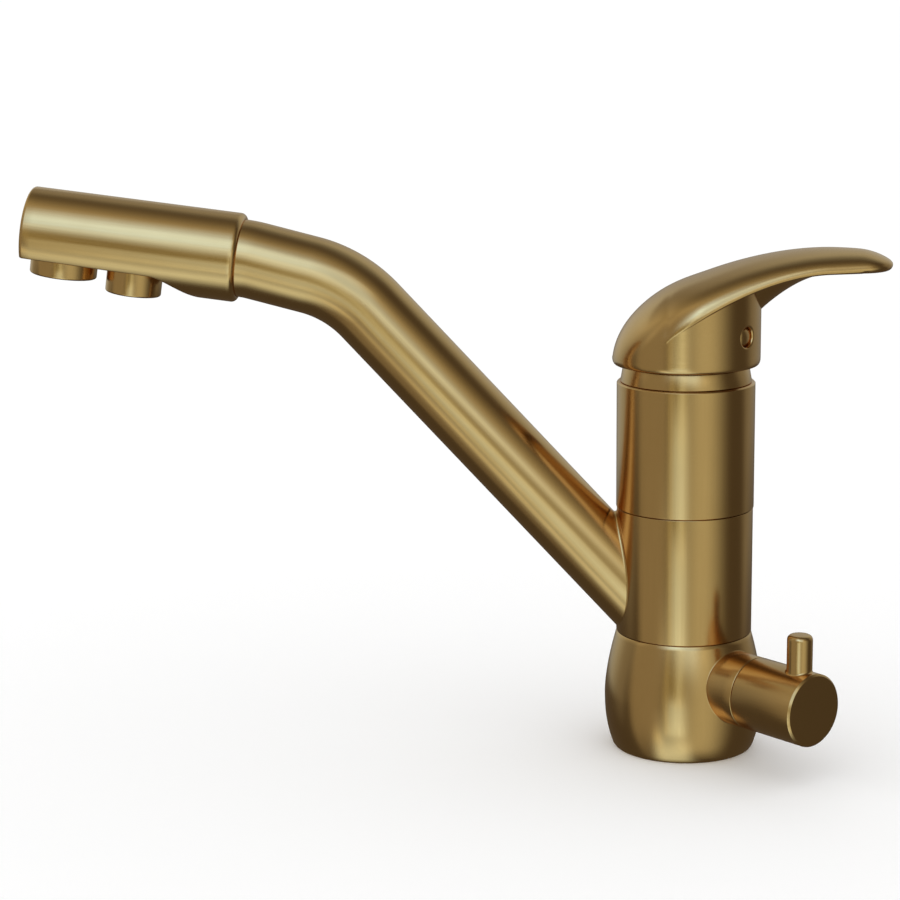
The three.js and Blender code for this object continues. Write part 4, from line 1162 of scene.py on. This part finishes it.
def headSection(v, x, inset, arcCount=120, cornerCount=6, flatCount=24):
    radius = v["radius"] - inset
    past = x - v["flatStart"]
    if past < 0:
        fall = smoothStep(-past, 0, v["flatStart"] - v["scoopStart"])
        depth = v["flatDepth"] + (v["radius"] - v["flatDepth"]) * fall
    else:
        depth = v["flatDepth"] - past * tan(radians(v["flatTilt"])) - inset * 0.5
    depth = min(depth, radius)
    corner = min(v["cornerRounding"], v["cornerShare"] * (radius - depth))
    side = sqrt(max((radius - corner) ** 2 - (depth - corner) ** 2, 0))
    tangent = atan2(corner - depth, side)  # of the corner's centre, below the level line
    arc = np.linspace(tangent, pi - tangent, arcCount)
    row = [(radius * cos(a), radius * sin(a)) for a in arc]

    def cornerArc(centre, first, last):
        angles = np.linspace(first, last, cornerCount + 1)
        return [(centre + corner * cos(a), corner - depth + corner * sin(a)) for a in angles]

    row += cornerArc(-side, pi - tangent, 1.5 * pi)[1:]
    row += [(y, -depth) for y in np.linspace(-side, side, flatCount)[1:-1]]
    return row + cornerArc(side, -0.5 * pi, tangent)[:-1]


def headShell(v, rimSteps=8, roundSteps=6, scoopSteps=40, flatSteps=16, endSteps=7):
    # a station is (distance from the rim, inset of the section)
    stations = []
    for s, c in quarterTurn(rimSteps):
        inset = v["rimRounding"] * (1 - s)
        if v["radius"] - inset >= v["socketRadius"] - v["socketEdge"]:
            stations.append((v["rimRounding"] * (1 - c), inset))
    endStart = v["length"] - v["endRounding"]
    stations += [(x, 0) for x in np.linspace(v["roundStart"], v["scoopStart"], roundSteps)]
    stations += [(x, 0) for x in np.linspace(v["scoopStart"], v["flatStart"], scoopSteps)[1:]]
    stations += [(x, 0) for x in np.linspace(v["flatStart"], endStart, flatSteps)[1:]]
    end = quarterTurn(endSteps)[1:]
    stations += [(endStart + v["endRounding"] * s, v["endRounding"] * (1 - c)) for s, c in end]
    # the head lies along -X in its own frame
    rings = [[(-x, y, z) for y, z in headSection(v, x, inset)] for x, inset in stations]
    turns = [atan2(z, y) for _, y, z in rings[0]]
    socket, deep, width = v["socketRadius"], v["socketDepth"], len(turns)
    inside = [
        [(-x, socket * cos(a), socket * sin(a)) for a in turns]
        for x in (deep, v["socketEdge"])
    ]
    closeIn = [[(-deep, 0, 0)] * width]
    closeOut = [[(-v["length"], 0, v["radius"] * v["endMiddle"])] * width]
    points, faces = loft(closeIn + inside + rings + closeOut)
    return inFrame(points, upToBack.inverted()), faces, headFrame @ upToBack


def onFlat(v, distance):
    along = distance - v["flatStart"]
    drop = along * tan(radians(v["flatTilt"])) - v["flatDepth"]
    return headFrame @ shiftBy(-distance, 0, drop) @ turnAbout("Y", v["flatTilt"])


def grilleTree():
    tree, given, made = newTree(
        "aeratorGrille",
        "GeometryNodeTree",
        {
            "Geometry": "Geometry",
            "Radius": "Float",
            "Ribs": "Int",
            "Rings": "Int",
            "Bar": "Float",
            "Finish": "Material",
        },
        {"Geometry": "Geometry"},
    )
    radius, bar, number = given["Radius"], given["Bar"], firstOut(tree, "GeometryNodeInputIndex")

    def xyz(**parts):
        return firstOut(tree, "ShaderNodeCombineXYZ", parts)

    def circle(resolution, size):
        values = {"Resolution": resolution, "Radius": size}
        return firstOut(tree, "GeometryNodeCurvePrimitiveCircle", values)

    def repeated(count, piece, **change):
        dots = firstOut(tree, "GeometryNodePoints", {"Count": count})
        values = {"Points": dots, "Instance": piece, **change}
        return firstOut(tree, "GeometryNodeInstanceOnPoints", values)

    rib = firstOut(tree, "GeometryNodeMeshCube", {"Size": xyz(X=radius, Y=bar, Z=bar)})
    offset = xyz(X=maths(tree, "MULTIPLY", radius, 0.5))
    rib = firstOut(tree, "GeometryNodeTransform", {"Geometry": rib, "Translation": offset})
    share = maths(tree, "DIVIDE", number, given["Ribs"])
    ribs = repeated(given["Ribs"], rib, Rotation=xyz(Z=maths(tree, "MULTIPLY", share, 2 * pi)))
    values = {"Curve": circle(48, radius), "Profile Curve": circle(6, bar)}
    hoop = firstOut(tree, "GeometryNodeCurveToMesh", values)
    share = maths(tree, "DIVIDE", maths(tree, "ADD", number, 1.0), given["Rings"])
    hoops = repeated(given["Rings"], hoop, Scale=xyz(X=share, Y=share, Z=1.0))
    both = putNode(tree, "GeometryNodeJoinGeometry")
    for bars in (ribs, hoops):
        tree.links.new(bars, both.inputs[0])
    endTree(tree, both.outputs[0], given, made)
    return tree


def addAerator(name, a, s, grille):
    # its own size a, and the shape s that both share; Z points up into the head
    place, bottom, room = onFlat(head, a["along"]), -a["stand"], s["lipHeight"]
    lip, insertRadius = a["bore"] - s["lip"], a["bore"] - s["insertRoom"]
    housing = [
        (lip, bottom, s["softness"]),
        (a["radius"], bottom, s["rounding"]),
        (a["radius"], -s["seam"], s["softness"]),
        (a["thread"], -s["seam"]),
        (a["thread"], s["threadTop"]),
        (a["bore"], s["threadTop"]),
        (a["bore"], bottom + room),
        (lip, bottom + room),
    ]
    replaced = [name + "_aerator_housing"]
    turnedPiece(name + "AeratorHousing", housing, "spout", replaced, place, loop=True, segments=96)
    floor, top = bottom + s["insertRise"], s["insertTop"]
    turnedPiece(
        name + "AeratorInsert",
        [(0, top), (insertRadius, top), (insertRadius, floor), (0, floor)],
        "spout",
        [name + "_aerator_insert"],
        place,
        segments=64,
        slot="insert",
    )
    values = {
        "Radius": (a["bore"] - s["barRoom"]) * mm,
        "Ribs": a["ribs"],
        "Rings": s["rings"],
        "Bar": s["bar"] * mm,
        "Finish": outerFinishes["insert"],
    }
    mesh = runTree(name + "AeratorGrille", grille, values, bpy.data.meshes.new("grilleSeed"))
    shift = place @ shiftBy(0, 0, floor - s["barSink"])
    mesh.transform(Matrix.Translation(shift.translation * mm) @ shift.to_3x3().to_4x4())
    dress(mesh, name + "AeratorGrille", "spout", slot="insert")


makePiece("outletHead", [headShell(head)], "spout", ["outlet_head"])
grille = grilleTree()
for name, measures in aerators.items():
    addAerator(name, measures, aerator, grille)
print("outlet head made")

# knob of the filter valve with its pin

knob = {
    "start": valve["stubReach"] + valve["seam"],
    "length": 27.55,
    "bevel": 0.7,
    "softness": 0.15,
    "edge": 0.3,
    "hollowRadius": 10.2,
    "hollowDepth": 8.85,
    "pinDistance": 20.35,
    "pinRadius": 4.5,
    "pinStand": 13.0,
    "pinTop": 1.8,
    "pinFillet": 0.8,
    "pinSide": 15.5,  # where its straight side begins, past the fillet
    "pinInside": 8.0,  # where it begins inside the knob
    "pinInsideRadius": 3.0,
    "pinSegments": 64,
    "pinSearch": (2, 30),
}


def knobCorners(k):
    radius, end = valve["radius"], k["start"] + k["length"]
    hollowEnd = k["start"] + k["hollowDepth"]
    return [
        (0, hollowEnd),
        (k["hollowRadius"], hollowEnd),
        (k["hollowRadius"], k["start"]),
        (radius, k["start"], k["edge"]),
        (radius, end - k["bevel"], k["softness"]),
        (radius - k["bevel"], end, k["softness"]),
        (0, end),
    ]


def pinShell(k, knobFrame):
    # in the knob's own frame Z runs along the knob, and -X is up
    up = np.array((-1.0, 0, 0))
    foot = np.array((0, 0, k["start"] + k["pinDistance"]))
    radius, top = valve["radius"], valve["radius"] + k["pinStand"]
    line = [(radius, k["start"]), (radius, k["start"] + k["length"] - k["bevel"])]
    sizes = (k["pinRadius"], k["pinFillet"], k["pinSegments"], k["pinSearch"])
    root = rootRings(line, foot, up, *sizes)
    corners = [(k["pinRadius"], k["pinSide"]), (k["pinRadius"], top, k["pinTop"]), (0, top)]
    away, rows = branchRows(root, foot, up, corners, steps=8)
    inside = foot + up * k["pinInside"]
    start = [np.tile(inside, (k["pinSegments"], 1)), inside + away * k["pinInsideRadius"]]
    points, faces = loft([*start, *root, *rows])
    ownFrame = knobFrame @ shiftBy(*foot) @ upToBack
    return inFrame(points, ownFrame.inverted() @ knobFrame), faces, ownFrame


knobFrame = valveFrame @ upToOut
turnedPiece("filterKnob", knobCorners(knob), "knob", ["valve_knob"], knobFrame)
makePiece("knobPin", [pinShell(knob, knobFrame)], "knob", ["knob_pin"])
print("knob made")

# studio: camera, floor, and the panels that the metal reflects

camera = {
    "place": (0, -0.88517, 0.2896),
    "forward": (-0.09369147, 0.97547946, -0.19915251),
    "right": (0.99555217, 0.09378017, -0.00900872),
    "lens": 100,
    "sensor": 36,
    "clip": (0.01, 100),
}
studio = {
    "level": 1.0,
    "floorSize": 30.0,
    "floorColour": (0.985, 0.985, 0.985, 1),
    "floorGlow": 0.035,  # only to the camera, so that the floor meets the white background
    "domeRadius": 2.0,
    "domeFineness": 5,
    "roomColour": (0.108, 0.079, 0.054),
    # azimuth from the camera's side towards +X, elevation, half width, half height, softness of the
    # sides and of the ends, all in degrees, and the light that the panel adds as red, green, blue
    "panels": {
        "keyBox": (-21, 43, 4, 19, 22, 14, (1.49, 2.10, 3.20)),
        "sideBox": (6, 32, 18, 20, 9, 8, (0.74, 0.94, 1.24)),
        "overhead": (-33, 71, 65, 9, 24, 25, (0.49, 0.41, 0.27)),
        "floorStrip": (-9, -18, 11, 13, 9, 3, (0.79, 0.91, 0.98)),
        "middleStrip": (-6, 2, 3, 8, 3, 3, (0.42, 0.50, 0.52)),
        "floorFan": (-19, -51, 20, 15, 9, 24, (1.10, 1.21, 1.21)),
        "rightWall": (30, -15, 27, 35, 25, 7, (0.60, 0.56, 0.43)),
        "leftSliver": (-24, 0, 4, 31, 1, 2, (0.42, 0.35, 0.18)),
        "leftWall": (-57, 9, 27, 52, 7, 25, (0.29, 0.24, 0.17)),
        "backWall": (-169, 31, 82, 28, 10, 11, (0.20, 0.18, 0.15)),
        "farRight": (34, 28, 3, 18, 10, 2, (0.37, 0.34, 0.26)),
        "leftBox": (-141, 12, 22, 23, 18, 2, (0.34, 0.36, 0.36)),
        "backRight": (157, 32, 23, 34, 19, 18, (0.27, 0.29, 0.30)),
        "frontStrip": (-8, 11, 10, 20, 5, 2, (0.24, 0.18, 0.03)),
        "lowLeft": (-40, -33, 5, 4, 2, 9, (0.44, 0.36, 0.17)),
    },
}


def addCamera(c):
    forward, right = Vector(c["forward"]).normalized(), Vector(c["right"]).normalized()
    up = right.cross(forward)
    data = bpy.data.cameras.new("photoCamera")
    data.lens, data.sensor_width = c["lens"], c["sensor"]
    data.clip_start, data.clip_end = c["clip"]
    viewer = addObject("photoCamera", data)
    turn = Matrix((right, up, -forward)).transposed().to_4x4()
    viewer.matrix_world = Matrix.Translation(c["place"]) @ turn
    bpy.context.scene.camera = viewer


panelSizes = ("Half Width", "Half Height", "Side Softness", "End Softness")


def panelGroup():
    tree, given, made = newTree(
        "studioPanel",
        "ShaderNodeTree",
        {
            **dict.fromkeys(("Direction", "Middle", "Right", "Up"), "Vector"),
            **dict.fromkeys(panelSizes, "Float"),
        },
        {"Mask": "Float"},
    )

    def dot(label):
        pair = {0: given["Direction"], 1: given[label]}
        return putNode(tree, "ShaderNodeVectorMath", pair, operation="DOT_PRODUCT").outputs["Value"]

    turn = maths(tree, "ARCTAN2", dot("Right"), dot("Middle"))
    tilt = maths(tree, "ARCSINE", dot("Up"))
    masks = []
    for angle, size, softness in (
        (turn, "Half Width", "Side Softness"),
        (tilt, "Half Height", "End Softness"),
    ):
        values = {
            "Value": maths(tree, "ABSOLUTE", angle),
            "From Min": maths(tree, "SUBTRACT", given[size], given[softness]),
            "From Max": maths(tree, "ADD", given[size], given[softness]),
            "To Min": 1.0,
            "To Max": 0.0,
        }
        mask = firstOut(tree, "ShaderNodeMapRange", values, interpolation_type="SMOOTHSTEP")
        masks.append(mask)
    tree.links.new(maths(tree, "MULTIPLY", *masks), made["Mask"])
    return tree


def panelMask(tree, group, direction, azimuth, elevation, *sizes):
    a, e = radians(azimuth), radians(elevation)
    middle = Vector((sin(a) * cos(e), -cos(a) * cos(e), sin(e)))
    right = Vector((cos(a), sin(a), 0))
    values = {"Direction": direction, "Middle": middle, "Right": right, "Up": middle.cross(right)}
    values.update((label, radians(size)) for label, size in zip(panelSizes, sizes))
    return putNode(tree, "ShaderNodeGroup", values, node_tree=group).outputs["Mask"]


def domeMaterial(s):
    material = bpy.data.materials.new("studioTent")
    material.use_nodes = True
    tree = material.node_tree
    tree.nodes.clear()
    place = putNode(tree, "ShaderNodeTexCoord").outputs["Object"]
    direction = vectorMaths(tree, "NORMALIZE", place)
    group = panelGroup()
    light = firstOut(tree, "ShaderNodeRGB")
    light.default_value = (*s["roomColour"], 1)
    for *measures, colour in s["panels"].values():
        values = {0: Vector(colour), "Scale": panelMask(tree, group, direction, *measures)}
        glow = firstOut(tree, "ShaderNodeVectorMath", values, operation="SCALE")
        light = vectorMaths(tree, "ADD", light, glow)
    shine = firstOut(tree, "ShaderNodeEmission", {"Color": light, "Strength": 1.0})
    putNode(tree, "ShaderNodeOutputMaterial", {"Surface": shine})
    return material


def addWorld(s):
    world = bpy.data.worlds.new("whiteStudio")
    bpy.context.scene.world = world
    world.use_nodes = True
    background = world.node_tree.nodes["Background"]
    background.inputs["Color"].default_value = (1, 1, 1, 1)
    background.inputs["Strength"].default_value = s["level"]


def addFloor(s):
    size = s["floorSize"]
    mesh = bpy.data.meshes.new("studioFloor")
    corners = [(-size, -size, 0), (size, -size, 0), (size, size, 0), (-size, size, 0)]
    mesh.from_pydata(corners, [], [(0, 1, 2, 3)])
    material, tree, shader = newMaterial("paleFloor")
    for label, value in (
        ("Base Color", s["floorColour"]),
        ("Roughness", 1.0),
        ("Specular IOR Level", 0.0),
        ("Emission Color", (1, 1, 1, 1)),
    ):
        shader.inputs[label].default_value = value
    seen = putNode(tree, "ShaderNodeLightPath").outputs["Is Camera Ray"]
    lifted = maths(tree, "MULTIPLY", seen, s["floorGlow"])
    tree.links.new(lifted, shader.inputs["Emission Strength"])
    mesh.materials.append(material)
    floor = addObject("studioFloor", mesh)
    floor.visible_glossy = False  # the tent carries the floor that the metal shows
    return floor


def addTent(s):
    mesh = bpy.data.meshes.new("studioTent")
    bm = bmesh.new()
    bmesh.ops.create_icosphere(bm, subdivisions=s["domeFineness"], radius=s["domeRadius"])
    bm.to_mesh(mesh)
    bm.free()
    mesh.materials.append(domeMaterial(s))
    tent = addObject("studioTent", mesh)
    for flag in ("visible_camera", "visible_diffuse", "visible_shadow", "visible_transmission"):
        setattr(tent, flag, False)
    return tent


addCamera(camera)
addWorld(studio)
floor, dome = addFloor(studio), addTent(studio)
bpy.context.scene.view_settings.view_transform = "Standard"
print("studio made")

bpy.context.view_layer.update()
